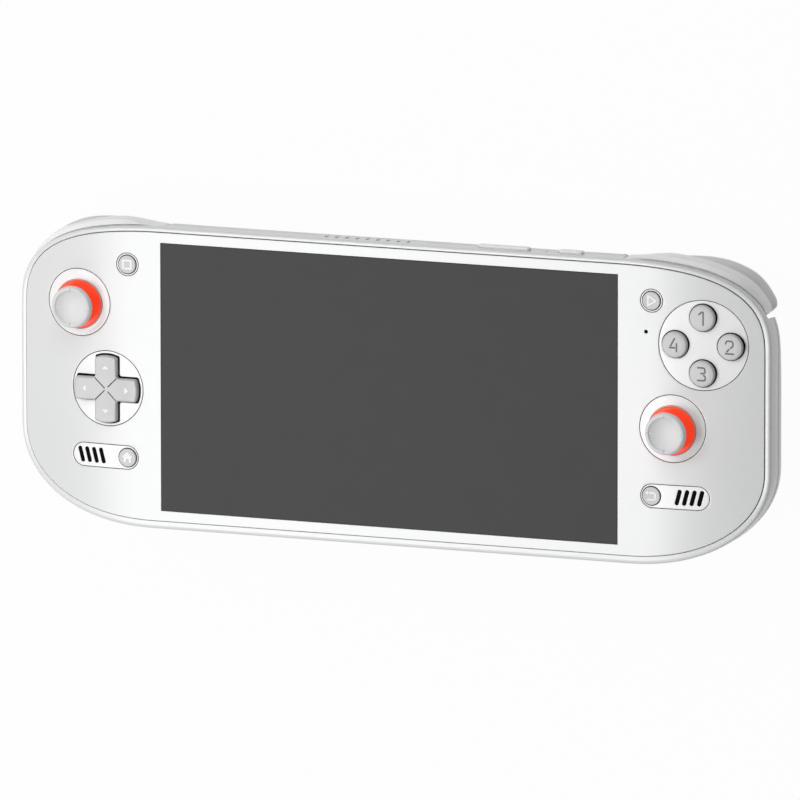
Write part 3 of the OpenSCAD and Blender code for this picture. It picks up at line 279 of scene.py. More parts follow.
def plateShape(loops, thickness, bevel, rounding=2):
    # filled flat outlines with rounded edges, from z = -thickness to 0
    curve = bpy.data.curves.new("outline", "CURVE")
    curve.dimensions = "2D"
    curve.fill_mode = "BOTH"
    curve.extrude = thickness / 2 - bevel
    curve.bevel_depth = bevel
    curve.bevel_resolution = rounding
    curve.offset = -bevel
    for loop in loops:
        spline = curve.splines.new("POLY")
        spline.points.add(len(loop) - 1)
        for point, (x, y) in zip(spline.points, loop):
            point.co = (x, y, 0, 1)
        spline.use_cyclic_u = True
    holder = newObject("outline", curve)
    mesh = evaluatedMesh(holder)
    bpy.data.objects.remove(holder)
    bpy.data.curves.remove(curve)
    shape = bmesh.new()
    shape.from_mesh(mesh)
    bpy.data.meshes.remove(mesh)
    bmesh.ops.remove_doubles(shape, verts=shape.verts, dist=weld)
    for v in shape.verts:
        v.co.z -= thickness / 2
    return shape


def sliceShape(shape, axis, places):
    normal = Vector((axis == "x", axis == "y", axis == "z"))
    for place in places:
        geometry = shape.verts[:] + shape.edges[:] + shape.faces[:]
        bmesh.ops.bisect_plane(shape, geom=geometry, dist=weld / 10, plane_co=normal * place, plane_no=normal)


def shapePiece(name, shape, move):
    # move turns an array of shape points into body points
    points = np.array([v.co for v in shape.verts])
    shape.verts.index_update()
    faces = [[v.index for v in f.verts] for f in shape.faces]
    shape.free()
    return makePiece(name, move(points), faces)


def platePiece(name, loops, depth, thickness, bevel, step=1.6):
    # a plate that follows the bend of the wings, its face at depth below the front
    shape = plateShape(loops, thickness, bevel)
    xs = [v.co.x for v in shape.verts]
    low, high = min(xs), max(xs)
    places = np.arange(body["wingStart"], max(-low, high), step)
    sliceShape(shape, "x", [p for q in places for p in (q, -q) if low < p < high])

    def follow(p):
        return np.column_stack((p[:, 0], p[:, 1], p[:, 2] + topZ(p[:, 0]) - depth))

    return shapePiece(name, shape, follow)


def bezelPiece(name, loops, edge, step):
    return platePiece(name, loops, body["bezelSink"], body["bezelDepth"] - body["bezelSink"], edge, step)


def prismPiece(name, loop, origin, across, up, length):
    # a straight bar with the given outline, used to cut holes
    origin, across, up = Vector(origin), Vector(across), Vector(up)
    along = across.cross(up) * length
    near = [origin + across * x + up * y for x, y in loop]
    points = near + [p + along for p in near]
    count = len(loop)
    faces = [range(count - 1, -1, -1), range(count, 2 * count)]
    faces += [(i, (i + 1) % count, count + (i + 1) % count, count + i) for i in range(count)]
    return makePiece(name, points, faces)


def boxPiece(name, low, high, bevel):
    loop = [(low[0], low[1]), (high[0], low[1]), (high[0], high[1]), (low[0], high[1])]
    shape = plateShape([loop], high[2] - low[2], bevel)
    return shapePiece(name, shape, lambda p: p + [0, 0, high[2]])


def settle(obj, rider, slotName, material, nodes=(), angle=32, weighted=False):
    # shading, finish and body of a finished piece
    obj.data.materials.clear()
    for item in material if isinstance(material, (list, tuple)) else [material]:
        obj.data.materials.append(item)
    obj.data.shade_smooth()
    obj.data.set_sharp_from_angle(angle=math.radians(angle))
    if weighted:
        step = obj.modifiers.new("even normals", "WEIGHTED_NORMAL")
        step.keep_sharp = True
        applyModifiers(obj)
    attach(obj, rider)
    if nodes:
        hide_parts(*nodes)
    return obj


def paintFaces(obj, chosen):
    # gives the second finish to the faces whose middle, in body millimetres, is chosen
    middles = np.array([f.center for f in obj.data.polygons]) / mm - [0, liftY, 0]
    for face, hit in zip(obj.data.polygons, chosen(middles)):
        face.material_index = int(hit)


def settleFront(obj, slotName, finishes, node, **shading):
    # a fixed front piece: its walls below the rounded edges take the second finish, a painted shade that
    # shows as dark seams and gaps
    settle(obj, "console", slotName, finishes, [node], **shading)
    paintFaces(obj, lambda p: p[:, 2] < topZ(p[:, 0]) - body["seamShadeDepth"])


# finishes
def tone(r, g, b):
    def channel(v):
        v = v / 255
        return v / 12.92 if v <= 0.04045 else ((v + 0.055) / 1.055) ** 2.4
    return (channel(r), channel(g), channel(b), 1.0)


def groupNode(tree, kind, settings=None, **inputs):
    node = tree.nodes.new(kind)
    for key, value in (settings or {}).items():
        setattr(node, key, value)
    for key, value in inputs.items():
        node.inputs[key.replace("_", " ")].default_value = value
    return node


def mathNode(tree, operation, *values):
    # values go to the inputs in turn, and None leaves an input for a link
    node = groupNode(tree, "ShaderNodeMath", {"operation": operation})
    for socket, value in zip(node.inputs, values):
        if value is not None:
            socket.default_value = value
    return node


def addSockets(tree, way, sockets):
    for name, kind in sockets.items():
        tree.interface.new_socket(name=name, in_out=way, socket_type="NodeSocket" + kind)


moulding = {
    "pitScale": 0.6, "pitShare": 0.35, "cloudScale": 45.0, "smearScale": 160.0, "grainHeight": 0.00004,
}


def mouldedSkinGroup():
    # fine moulded grain, faint clouding and uneven gloss
    tree = bpy.data.node_groups.new("mouldedSkin", "ShaderNodeTree")
    addSockets(tree, "INPUT", {"Vector": "Vector", "Color": "Color", "Roughness": "Float",
                               "Grain Scale": "Float", "Clouding": "Float", "Gloss Spread": "Float"})
    addSockets(tree, "OUTPUT", {"Color": "Color", "Roughness": "Float", "Height": "Float"})
    start, end = tree.nodes.new("NodeGroupInput"), tree.nodes.new("NodeGroupOutput")
    grain = groupNode(tree, "ShaderNodeTexNoise", Detail=3.0, Roughness=0.6)
    pits = groupNode(tree, "ShaderNodeTexVoronoi")
    cloud = groupNode(tree, "ShaderNodeTexNoise", Scale=moulding["cloudScale"], Detail=3.0)
    smear = groupNode(tree, "ShaderNodeTexNoise", Scale=moulding["smearScale"], Detail=4.0)
    pitScale = mathNode(tree, "MULTIPLY", None, moulding["pitScale"])
    blend = mathNode(tree, "MULTIPLY_ADD", None, moulding["pitShare"])
    centre = mathNode(tree, "SUBTRACT", None, 0.5)
    shade = mathNode(tree, "MULTIPLY_ADD", None, None, 1.0)
    middle = mathNode(tree, "SUBTRACT", None, 0.5)
    lift = mathNode(tree, "MULTIPLY_ADD")
    tint = groupNode(tree, "ShaderNodeHueSaturation")
    link = tree.links.new
    for texture in (grain, pits, cloud, smear):
        link(start.outputs["Vector"], texture.inputs["Vector"])
    link(start.outputs["Grain Scale"], grain.inputs["Scale"])
    link(start.outputs["Grain Scale"], pitScale.inputs[0])
    link(pitScale.outputs[0], pits.inputs["Scale"])
    link(pits.outputs["Distance"], blend.inputs[0])
    link(grain.outputs["Fac"], blend.inputs[2])
    link(blend.outputs[0], end.inputs["Height"])
    link(cloud.outputs["Fac"], centre.inputs[0])
    link(centre.outputs[0], shade.inputs[0])
    link(start.outputs["Clouding"], shade.inputs[1])
    link(shade.outputs[0], tint.inputs["Value"])
    link(start.outputs["Color"], tint.inputs["Color"])
    link(tint.outputs["Color"], end.inputs["Color"])
    link(smear.outputs["Fac"], middle.inputs[0])
    link(middle.outputs[0], lift.inputs[0])
    link(start.outputs["Gloss Spread"], lift.inputs[1])
    link(start.outputs["Roughness"], lift.inputs[2])
    link(lift.outputs[0], end.inputs["Roughness"])
    return tree


mouldedSkin = mouldedSkinGroup()


def finish(name, color, roughness, grain=2600.0, depth=0.12, clouding=0.05, spread=0.1, **shader):
    made = bpy.data.materials.new(name)
    made.use_nodes = True
    tree = made.node_tree
    surface = tree.nodes["Principled BSDF"]
    for key, value in shader.items():
        surface.inputs[key.replace("_", " ")].default_value = value
    place = tree.nodes.new("ShaderNodeTexCoord")
    skin = tree.nodes.new("ShaderNodeGroup")
    skin.node_tree = mouldedSkin
    skin.inputs["Color"].default_value = tone(*color)
    skin.inputs["Roughness"].default_value = roughness
    skin.inputs["Grain Scale"].default_value = grain
    skin.inputs["Clouding"].default_value = clouding
    skin.inputs["Gloss Spread"].default_value = spread
    bump = tree.nodes.new("ShaderNodeBump")
    bump.inputs["Strength"].default_value = depth
    bump.inputs["Distance"].default_value = moulding["grainHeight"]
    link = tree.links.new
    link(place.outputs["Object"], skin.inputs["Vector"])
    link(skin.outputs["Color"], surface.inputs["Base Color"])
    link(skin.outputs["Roughness"], surface.inputs["Roughness"])
    link(skin.outputs["Height"], bump.inputs["Height"])
    link(bump.outputs["Normal"], surface.inputs["Normal"])
    return made


shellWhite = finish("shellWhite", (231, 232, 232), 0.28, depth=0.07, clouding=0.02, spread=0.02)
# a lighter copy of the shell's white: these parts are white, and their extra brightness partly stands for
# light falling on them, a painted highlight
bezelWhite = finish("bezelWhite", (253, 253, 253), 0.3, depth=0.05, clouding=0.015, spread=0.03)
buttonGrey = finish("buttonGrey", (201, 201, 201), 0.36, clouding=0.03, spread=0.05)
capGrey = finish("capGrey", (228, 228, 229), 0.5, grain=3200.0, depth=0.2)
triggerGrey = finish("triggerGrey", (230, 230, 230), 0.42, depth=0.16)
iconWhite = finish("iconWhite", (250, 250, 250), 0.35, clouding=0.02)
markGrey = finish("markGrey", (112, 113, 115), 0.5)
# painted shade: near black for the walls of seams, gaps and grooves, where shadow falls
paintedGapShade = finish("paintedGapShade", (20, 20, 21), 0.7, depth=0.2, Specular_IOR_Level=0.2)
# the orange glows faintly so that it stays bright in the cap's shadow: painted light, as the skirt is no lamp
skirtOrangeGlow = finish("skirtOrangeGlow", (255, 66, 26), 0.4, depth=0.06, clouding=0.04,
                     Emission_Color=tone(255, 66, 30), Emission_Strength=0.46)
# dark glass: its grey base, with its own reflection turned low, is partly painted sheen
glassSheenGrey = finish("glassSheenGrey", (70, 70, 71), 0.3, grain=900.0, depth=0.02, clouding=0.03, spread=0.04,
                   Specular_IOR_Level=0.05)
meshBlack = finish("meshBlack", (5, 5, 6), 0.8, grain=5200.0, depth=0.6, Specular_IOR_Level=0.1)
darkPlastic = finish("darkPlastic", (32, 33, 35), 0.5, depth=0.3)
rubberGrey = finish("rubberGrey", (52, 52, 54), 0.75, depth=0.4)
steelBare = finish("steelBare", (190, 191, 194), 0.3, grain=1500.0, depth=0.2, spread=0.2, Metallic=1.0)
goldContact = finish("goldContact", (226, 182, 92), 0.25, grain=1500.0, depth=0.1, Metallic=1.0)
copperBare = finish("copperBare", (200, 130, 92), 0.32, grain=1500.0, depth=0.2, Metallic=1.0)
sheetMetal = finish("sheetMetal", (196, 198, 202), 0.38, grain=1200.0, depth=0.25, Metallic=1.0)
boardGreen = finish("boardGreen", (24, 88, 56), 0.45, grain=1800.0, depth=0.3, clouding=0.15)
batteryWrap = finish("batteryWrap", (44, 45, 49), 0.4, grain=700.0, depth=0.4)
print("finishes made")

nodeFinish = {
    "display_panel": darkPlastic, "chassis_plate": sheetMetal, "trigger_brackets": steelBare,
    "hinge_pins": steelBare, "left_trigger_spring": steelBare, "right_trigger_spring": steelBare,
    "left_stick_hub": darkPlastic, "right_stick_hub": darkPlastic, "left_stick_yoke": darkPlastic,
    "right_stick_yoke": darkPlastic, "left_stick_module": darkPlastic, "right_stick_module": darkPlastic,
    "pad_rocker": darkPlastic, "pad_base": darkPlastic, "pad_membrane": rubberGrey,
    "face_button_membrane": rubberGrey, "speaker_meshes": meshBlack, "speakers": darkPlastic,
    "side_key_board": boardGreen, "main_board": boardGreen, "button_boards": boardGreen,
    "battery": batteryWrap, "fan_housing": darkPlastic, "fan_rotor": darkPlastic, "heatsink": copperBare,
    "card_slot": steelBare, "rumble_motors": steelBare,
}
for nodeName, nodeMaterial in nodeFinish.items():
    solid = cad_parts[nodeName]
    solid.data.materials.clear()
    solid.data.materials.append(nodeMaterial)

# rows of slots: pill-shaped bars on a line, built by a node tree
def slotRowTree():
    tree = bpy.data.node_groups.new("slotRow", "GeometryNodeTree")
    addSockets(tree, "INPUT", {
        "Count": "Int", "Pitch": "Float", "Slot Length": "Float", "Slot Width": "Float", "Depth": "Float",
        "Lean": "Float", "Taper": "Float", "Finish": "Material"})
    addSockets(tree, "OUTPUT", {"Geometry": "Geometry"})
    add, link = tree.nodes.new, tree.links.new
    start, end = add("NodeGroupInput"), add("NodeGroupOutput")
    line, step = add("GeometryNodeMeshLine"), add("ShaderNodeCombineXYZ")
    link(start.outputs["Pitch"], step.inputs["X"])
    link(start.outputs["Count"], line.inputs["Count"])
    link(step.outputs[0], line.inputs["Offset"])

    # one slot, with ends rounded by a shade less than half its width
    pill, rounded = add("GeometryNodeCurvePrimitiveQuadrilateral"), add("GeometryNodeFilletCurve")
    endRadius, fill = mathNode(tree, "MULTIPLY", None, 0.4999), add("GeometryNodeFillCurve")
    link(start.outputs["Slot Width"], pill.inputs["Width"])
    link(start.outputs["Slot Length"], pill.inputs["Height"])
    link(start.outputs["Slot Width"], endRadius.inputs[0])
    rounded.mode = "POLY"
    rounded.inputs["Count"].default_value = 10
    link(pill.outputs["Curve"], rounded.inputs["Curve"])
    link(endRadius.outputs[0], rounded.inputs["Radius"])
    fill.mode = "NGONS"
    link(rounded.outputs["Curve"], fill.inputs["Curve"])
    deep, flip = add("GeometryNodeExtrudeMesh"), add("GeometryNodeFlipFaces")
    both, merge = add("GeometryNodeJoinGeometry"), add("GeometryNodeMergeByDistance")
    deep.inputs["Individual"].default_value = False
    link(fill.outputs["Mesh"], deep.inputs["Mesh"])
    link(start.outputs["Depth"], deep.inputs["Offset Scale"])
    link(fill.outputs["Mesh"], flip.inputs["Mesh"])
    link(flip.outputs["Mesh"], both.inputs["Geometry"])
    link(deep.outputs["Mesh"], both.inputs["Geometry"])
    link(both.outputs["Geometry"], merge.inputs["Geometry"])
    merge.inputs["Distance"].default_value = weld

    # slots away from the middle of the row get shorter by the taper
    index, mid = add("GeometryNodeInputIndex"), mathNode(tree, "MULTIPLY_ADD", None, 0.5, -0.5)
    away, distance = mathNode(tree, "SUBTRACT"), mathNode(tree, "ABSOLUTE")
    shorter = mathNode(tree, "MULTIPLY_ADD", None, None, 1.0)
    size = groupNode(tree, "ShaderNodeCombineXYZ", X=1.0, Z=1.0)
    link(start.outputs["Count"], mid.inputs[0])
    link(index.outputs[0], away.inputs[0])
    link(mid.outputs[0], away.inputs[1])
    link(away.outputs[0], distance.inputs[0])
    link(distance.outputs[0], shorter.inputs[0])
    link(start.outputs["Taper"], shorter.inputs[1])
    link(shorter.outputs[0], size.inputs["Y"])

    spread, turn = add("GeometryNodeInstanceOnPoints"), add("ShaderNodeCombineXYZ")
    link(start.outputs["Lean"], turn.inputs["Z"])
    link(line.outputs["Mesh"], spread.inputs["Points"])
    link(merge.outputs["Geometry"], spread.inputs["Instance"])
    link(turn.outputs[0], spread.inputs["Rotation"])
    link(size.outputs[0], spread.inputs["Scale"])
    closeTree(tree, start, spread, end)
    return tree


def closeTree(tree, start, spread, end):
    # the instances become a plain mesh with the finish that was asked for
    real, paint = tree.nodes.new("GeometryNodeRealizeInstances"), tree.nodes.new("GeometryNodeSetMaterial")
    tree.links.new(spread.outputs["Instances"], real.inputs["Geometry"])
    tree.links.new(real.outputs["Geometry"], paint.inputs["Geometry"])
    tree.links.new(start.outputs["Finish"], paint.inputs["Material"])
    tree.links.new(paint.outputs["Geometry"], end.inputs["Geometry"])


slotRowNodes = slotRowTree()


def setInputs(step, values):
    # a modifier's inputs go by the identifiers of their sockets
    sockets = {s.name: s.identifier for s in step.node_group.interface.items_tree if s.in_out == "INPUT"}
    for key, value in values.items():
        step[sockets[key]] = value


def treeShape(tree, values):
    # runs a node tree and returns its result as a shape in millimetres
    holder = newObject("row", bpy.data.meshes.new("row"))
    step = holder.modifiers.new("row", "NODES")
    step.node_group = tree
    setInputs(step, values)
    mesh = evaluatedMesh(holder)
    bpy.data.objects.remove(holder)
    shape = bmesh.new()
    shape.from_mesh(mesh)
    bpy.data.meshes.remove(mesh)
    return shape


def slotRow(name, row, move, material=None):
    shape = treeShape(slotRowNodes, {
        "Count": row["count"], "Pitch": row["pitch"], "Slot Length": row["length"],
        "Slot Width": row["width"], "Depth": row["depth"], "Lean": math.radians(row.get("lean", 0.0)),
        "Taper": row.get("taper", 0.0), "Finish": material or meshBlack})
    return shapePiece(name, shape, move)


def rowStart(row):
    return row["x"] - (row["count"] - 1) / 2 * row["pitch"]


# front plate
controls = {
    "high": (105.75, 22.4), "low": (95.8, -4.9), "menu": (88.8, 35.9), "pill": (85.2, 108.1, 7.85, -27.0),
    "ringRadius": 11.0, "padRadius": 12.3, "faceRadius": 14.6, "menuRadius": 3.8, "homeInset": 0.2,
    "screen": (155.0, 87.2),
}
microphone = {
    "place": (87.0, 25.8), "radius": 0.6, "gap": 0.04, "depth": 0.35, "thickness": 0.6, "edge": 0.05,
}
leftStick, rightStick = (-controls["high"][0], controls["high"][1]), controls["low"]
padPlace, facePlace = (-controls["low"][0], controls["low"][1]), controls["high"]
menuX, menuY = controls["menu"]
pillIn, pillOut, pillHigh, pillY = controls["pill"]
pillMiddle = (pillIn + pillOut) / 2
homeX = pillIn + pillHigh / 2 - controls["homeInset"]
screenW, screenH = controls["screen"]

plateLoops = [plateLoop.tolist(), roundPath(rectangleCorners(screenW / 2, screenH / 2)),
              circlePath(controls["ringRadius"], *leftStick), circlePath(controls["ringRadius"], *rightStick),
              circlePath(controls["padRadius"], *padPlace), circlePath(controls["faceRadius"], *facePlace),
              circlePath(microphone["radius"], *microphone["place"], steps=24)]
for side in (-1, 1):
    plateLoops.append(circlePath(controls["menuRadius"], side * menuX, menuY, steps=72))
    plateLoops.append(pillPath(pillOut - pillIn, pillHigh, side * pillMiddle, pillY, steps=48))
frontPlate = platePiece("frontPlate", plateLoops, 0.0, body["plateDepth"], body["edge"])
# the plate's walls below its rounded edges take markGrey, a painted shade for the seam
settleFront(frontPlate, "shell", [shellWhite, markGrey], "front_shell", weighted=True)
clothLoop = circlePath(microphone["radius"] - microphone["gap"], *microphone["place"], steps=24)
microphoneCloth = platePiece("microphoneCloth", [clothLoop], microphone["depth"], microphone["thickness"],
                             microphone["edge"])
settle(microphoneCloth, "console", "mesh", meshBlack)
print("front plate made:", len(frontPlate.data.polygons), "faces")

# screen glass
glassPane = {"seam": 0.12, "thickness": 1.68, "bevel": 0.12}
paneLoop = roundPath(rectangleCorners(screenW / 2 - glassPane["seam"], screenH / 2 - glassPane["seam"]))
screenGlass = platePiece("screenGlass", [paneLoop], glassSink, glassPane["thickness"], glassPane["bevel"])
settle(screenGlass, "console", "screen_glass", glassSheenGrey, ["display_glass"], weighted=True)

# frame band
band = {
    "side": 2.0, "top": 1.5, "low": 2.8, "roundDepth": 3.0, "depth": 8.0, "lipDepth": 0.3, "fullness": 5.0,
    "roundFrom": 4.0, "roundSteps": 14, "ledge": 2.2, "inner": 0.8, "ledgeDepth": (1.9, 2.9), "keyDepth": 5.2,
    "cutIn": 3.0, "cutLength": 8.0,
}
vents = {"count": 9, "pitch": 3.48, "x": -8.75, "width": 1.2, "length": 2.6, "depth": 8.0}
keys = {
    "volume": (37.5, 17.5), "power": (60.0, 8.3), "width": 2.4, "gap": 0.2, "endGap": 0.1, "rise": 0.95,
    "edge": 0.35, "powerIn": 0.9, "volumeIn": 1.2, "dot": (51.6, 0.6),
}
ports = {
    "usb": (0.0, 8.94, 3.26, 5.6), "jack": (24.0, 2.2, 5.5, 1.8, 13.0), "card": (46.0, 11.2, 6.25),
    "gap": 0.1, "cardGap": 0.4, "cardHigh": 1.5, "cardRound": 0.3,
}
shoulder = {
    "inner": 78.2, "rise": 3.6, "riseSpan": 15.0, "depth": 3.45, "thick": 7.6, "wall": 1.2, "end": 19.5,
    "gap": 0.3, "drawFrom": 48.0, "draw": 1.2, "slit": (0.25, 0.5), "slitSpan": (2.0, 9.0), "endSpan": 7.0,
    "endDrop": 1.6, "endRound": 0.35,
}
pocket = {"out": (-6.0, 9.0), "clear": 0.15, "deep": 14.0, "past": 3.0}


def bandProfile():
    # rows of (share of the band's width, extra width, depth)
    seam, lip, deep, fullness = body["seam"], band["lipDepth"], band["depth"], band["fullness"]
    ledgeTop, ledgeLow = band["ledgeDepth"]
    path = [(0, seam, ledgeTop), (0, seam, lip + 0.3), (0, seam + 0.03, lip + 0.1)]
    for k in range(1, band["roundSteps"] + 1):
        a = math.radians(mix(band["roundFrom"], 90, k / band["roundSteps"]))
        share = math.sin(a) ** (2 / fullness)
        fall = 1 - math.cos(a) ** (2 / fullness)
        path.append((share, seam * (1 - share), mix(lip, band["roundDepth"], fall)))
    path += [(1, 0, deep - 0.3), (1, -0.06, deep - 0.09), (1, -0.25, deep)]
    path += [(0, -band["inner"], deep), (0, -band["inner"], ledgeLow),
             (0, -band["ledge"], ledgeLow), (0, -band["ledge"], ledgeTop)]
    return path


def cornerAngle(x):
    w, h, n = body["topCorner"]
    return math.acos(((x - body["halfLength"] + w) / w) ** (n / 2))


def cornerSweep(name, angles, sections, side):
    # a solid along an upper corner; sections are (stand-out, depth) outlines, one for each angle
    points = []
    for t, section in zip(angles, sections):
        edge = topPoint(t, 0, 0)[0]
        for out, depth in section:
            x, y = topPoint(t, out, out)
            points.append((side * x, y, topZ(edge) - depth))
    columns = len(sections[0])
    faces = gridFaces(len(sections), columns)
    faces += [range(columns), range((len(sections) - 1) * columns, len(sections) * columns)]
    return makePiece(name, points, faces)


def cornerCutter(innerX, endAngle, side, out, near, far, steps=40):
    angles = np.linspace(cornerAngle(innerX), math.radians(endAngle), steps)
    section = [(out[0], near), (out[1], near), (out[1], far), (out[0], far)]
    return cornerSweep("pocket", angles, [section] * steps, side)


edgeY, keyZ = body["halfHeight"] - band["cutIn"], frontZ - band["keyDepth"]


def edgeCutter(loop, x, z, side):
    # a bar through the upper (side 1) or the lower (side -1) edge
    return prismPiece("edgeCut", loop, (x, side * edgeY, z), (1, 0, 0), (0, 0, -side), band["cutLength"])


profile = bandProfile()
bandPoints = []
for share, extra, depth in profile:
    ring = outlineLoop(share * band["side"] + extra, share * band["top"] + extra, share * band["low"] + extra)
    bandPoints.append(np.column_stack((ring, topZ(plateLoop[:, 0]) - depth)))
bandFaces = gridFaces(len(profile), len(plateLoop), closeRows=True)
frameBand = makePiece("frameBand", np.concatenate(bandPoints), bandFaces)
for side in (-1, 1):
    pocketX, pocketEnd = shoulder["inner"] - shoulder["gap"], shoulder["end"] - pocket["past"]
    cutWith(frameBand, cornerCutter(pocketX, pocketEnd, side, pocket["out"],
                                    shoulder["depth"] - pocket["clear"], pocket["deep"]))
ventStart = rowStart(vents)
cutWith(frameBand, slotRow("ventCut", vents, lambda p: np.column_stack((
    p[:, 0] + ventStart, edgeY + p[:, 2], keyZ - p[:, 1]))))
for x, length in (keys["volume"], keys["power"]):
    keyLoop = pillPath(length + 2 * (keys["gap"] + keys["endGap"]), keys["width"] + 2 * keys["gap"])
    cutWith(frameBand, edgeCutter(keyLoop, x, keyZ, 1))
cutWith(frameBand, edgeCutter(circlePath(keys["dot"][1], steps=24), keys["dot"][0], keyZ, 1))
usbX, usbW, usbH, usbDepth = ports["usb"]
jackX, jackOuter, jackDepth, jackBore, jackLength = ports["jack"]
cardX, cardW, cardDepth = ports["card"]
cardCorners = rectangleCorners(cardW / 2 + ports["cardGap"], ports["cardHigh"] / 2, ports["cardRound"])
portHoles = (
    (usbX, usbDepth, pillPath(usbW + 2 * ports["gap"], usbH + 2 * ports["gap"])),
    (jackX, jackDepth, circlePath(jackOuter + ports["gap"], steps=48)),
    (cardX, cardDepth, roundPath(cardCorners)),
)
for x, depth, loop in portHoles:
    cutWith(frameBand, edgeCutter(loop, x, frontZ - depth, -1))
settle(frameBand, "console", "shell", shellWhite, ["mid_frame"], angle=35)
print("frame band made:", len(frameBand.data.polygons), "faces")

# back shell
shell = {
    "body": 16.0, "grip": 14.0, "wall": 2.0, "gripIn": 58.0, "gripFull": 94.0, "gripTop": 0.4,
    "gripLow": 0.45, "topEase": (6.0, 42.0), "lowEase": (26.0, 46.0), "edgeRound": 7.0, "gripRound": 22.0,
    "roundEase": (60.0, 110.0), "landCut": 0.3, "rimDepth": 8.1, "turnSteps": 12, "flatSteps": 14,
    "innerSteps": 8, "spine": 44.0, "flatReach": 0.9, "groove": 0.25,
}
screws = {
    "places": [(83.2, 14.0), (83.2, -40.0), (112.5, -8.0)], "wingFrom": 100.0, "wingFoot": 4.0, "foot": 0.8,
    "seatDepth": 18.0, "bossDepth": 14.1, "post": 3.4, "head": 2.1, "headGap": 0.3, "shank": 0.95,
    "shankGap": 0.2, "socket": 1.0, "bore": (-5.0, 20.0), "stem": 9.4, "sink": 0.1, "rimThick": 0.75,
    "discThick": 0.65, "turn": 0.37,
}
intake = {
    "count": 9, "pitch": 4.0, "length": 24.0, "width": 1.8, "depth": 10.0, "taper": -2.2 / 24,
    "x": -11.0, "y": 17.0, "z": 10.0,
}
trigger = {
    "inner": 77.0, "start": 0.3, "rise": 3.9, "riseSpan": (4.0, 32.0), "gap": 0.6, "thick": 11.8,
    "thinEnd": 0.6, "thickSpan": 18.0, "wall": 5.0, "notchDepth": 15.0, "draw": 2.2, "endDrop": 2.4,
}
notch = {
    "gap": 0.6, "out": (-8.5, 12.0), "above": 3.0, "past": 3.5, "gripPast": 7.0, "overlap": 1.0, "deep": 60.0,
}


def backDepth(x, y):
    share = (1 - (1 - shell["gripTop"]) * smooth(*shell["topEase"], y)
             - (1 - shell["gripLow"]) * smooth(*shell["lowEase"], -y))
    grip = smooth(shell["gripIn"], shell["gripFull"], np.abs(x)) * share
    return shell["body"] + (shell["grip"] + shell["landCut"]) * grip


def shellRing(turn, flat, wall):
    # turn runs 0 to 1 round the edge, then flat runs 0 to 1 towards the middle
    edge = outlineLoop(band["side"] - wall, band["top"] - wall, band["low"] - wall)
    spine = np.clip(edge[:, 0], -shell["spine"], shell["spine"])
    toMiddle = np.column_stack((spine, np.zeros(len(edge)))) - edge
    far = np.linalg.norm(toMiddle, axis=1)
    wide = mix(shell["edgeRound"], shell["gripRound"], smooth(*shell["roundEase"], np.abs(edge[:, 0]))) - wall
    quarter = turn * math.pi / 2
    inward = wide * (1 - math.cos(quarter)) if turn < 1 else mix(wide, far * shell["flatReach"], flat)
    place = edge + toMiddle * (inward / far)[:, None]
    rim = shell["rimDepth"] + drop(plateLoop[:, 0])
    depth = rim + (backDepth(place[:, 0], place[:, 1]) - wall - rim) * math.sin(quarter)
    return np.column_stack((place, np.maximum(frontZ - depth, wall)))


def shellRings(wall, turns, flats):
    stations = [(k / turns, 0.0) for k in range(turns)] + [(1.0, k / flats) for k in range(flats + 1)]
    return [shellRing(t, f, wall) for t, f in stations]


outer = shellRings(0.0, shell["turnSteps"], shell["flatSteps"])
inner = shellRings(shell["wall"], shell["innerSteps"], shell["innerSteps"])
lip = outer[0].copy()
lip[:, :2] *= 1 - shell["groove"] / np.linalg.norm(lip[:, :2], axis=1)[:, None]
outer[0][:, 2] -= shell["groove"]  # a fine groove shows where the shell meets the band
loops = outer[::-1] + [lip] + inner
count = len(plateLoop)
shellFaces = gridFaces(len(loops), count)
shellFaces += [range(count), range((len(loops) - 1) * count, len(loops) * count)]
backShell = makePiece("backShell", np.concatenate(loops), shellFaces)
seatZ, bossZ = frontZ - screws["seatDepth"], frontZ - screws["bossDepth"]
headR, shankR = screws["head"] + screws["headGap"], screws["shank"] + screws["shankGap"]
boreLow, boreHigh = screws["bore"]
for side in (-1, 1):
    for x, y in screws["places"]:
        foot = screws["foot"] + (screws["wingFoot"] if x > screws["wingFrom"] else 0.0)
        footZ = frontZ - float(backDepth(side * x, y)) + foot
        postPath = [(0, footZ), (screws["post"], footZ), (screws["post"], bossZ), (0, bossZ)]
        cutWith(backShell, lathePiece("post", postPath, (side * x, y, 0), 48), "UNION")
for side in (-1, 1):
    notchX = trigger["inner"] - notch["gap"]
    cutWith(backShell, cornerCutter(notchX, shoulder["end"] - notch["past"], side, notch["out"],
                                    shell["rimDepth"] - notch["above"], trigger["notchDepth"]))
    cutWith(backShell, cornerCutter(notchX, shoulder["end"] - notch["gripPast"], side, notch["out"],
                                    trigger["notchDepth"] - notch["overlap"], notch["deep"]))
    for x, y in screws["places"]:
        borePath = [(0, boreLow), (headR, boreLow), (headR, seatZ),
                    (shankR, seatZ), (shankR, boreHigh), (0, boreHigh)]
        cutWith(backShell, lathePiece("bore", borePath, (side * x, y, 0), 48))
intakeStart = rowStart(intake)
cutWith(backShell, slotRow("intakeCut", intake, lambda p: p + [intakeStart, intake["y"], intake["z"]]))
settle(backShell, "console", "shell", shellWhite, ["back_shell"], angle=35)
print("back shell made:", len(backShell.data.polygons), "faces")


# shoulder buttons and triggers
def easedEnd(t):
    u = max(0.0, 1 - (math.degrees(t) - shoulder["end"]) / shoulder["endSpan"])
    return 1 - math.sqrt(max(0.0, 1 - u * u))


def drawnIn(t):
    # 0 along the top, 1 at the outer end
    share = (shoulder["drawFrom"] - math.degrees(t)) / (shoulder["drawFrom"] - shoulder["end"])
    return float(smooth(0.0, 1.0, share))


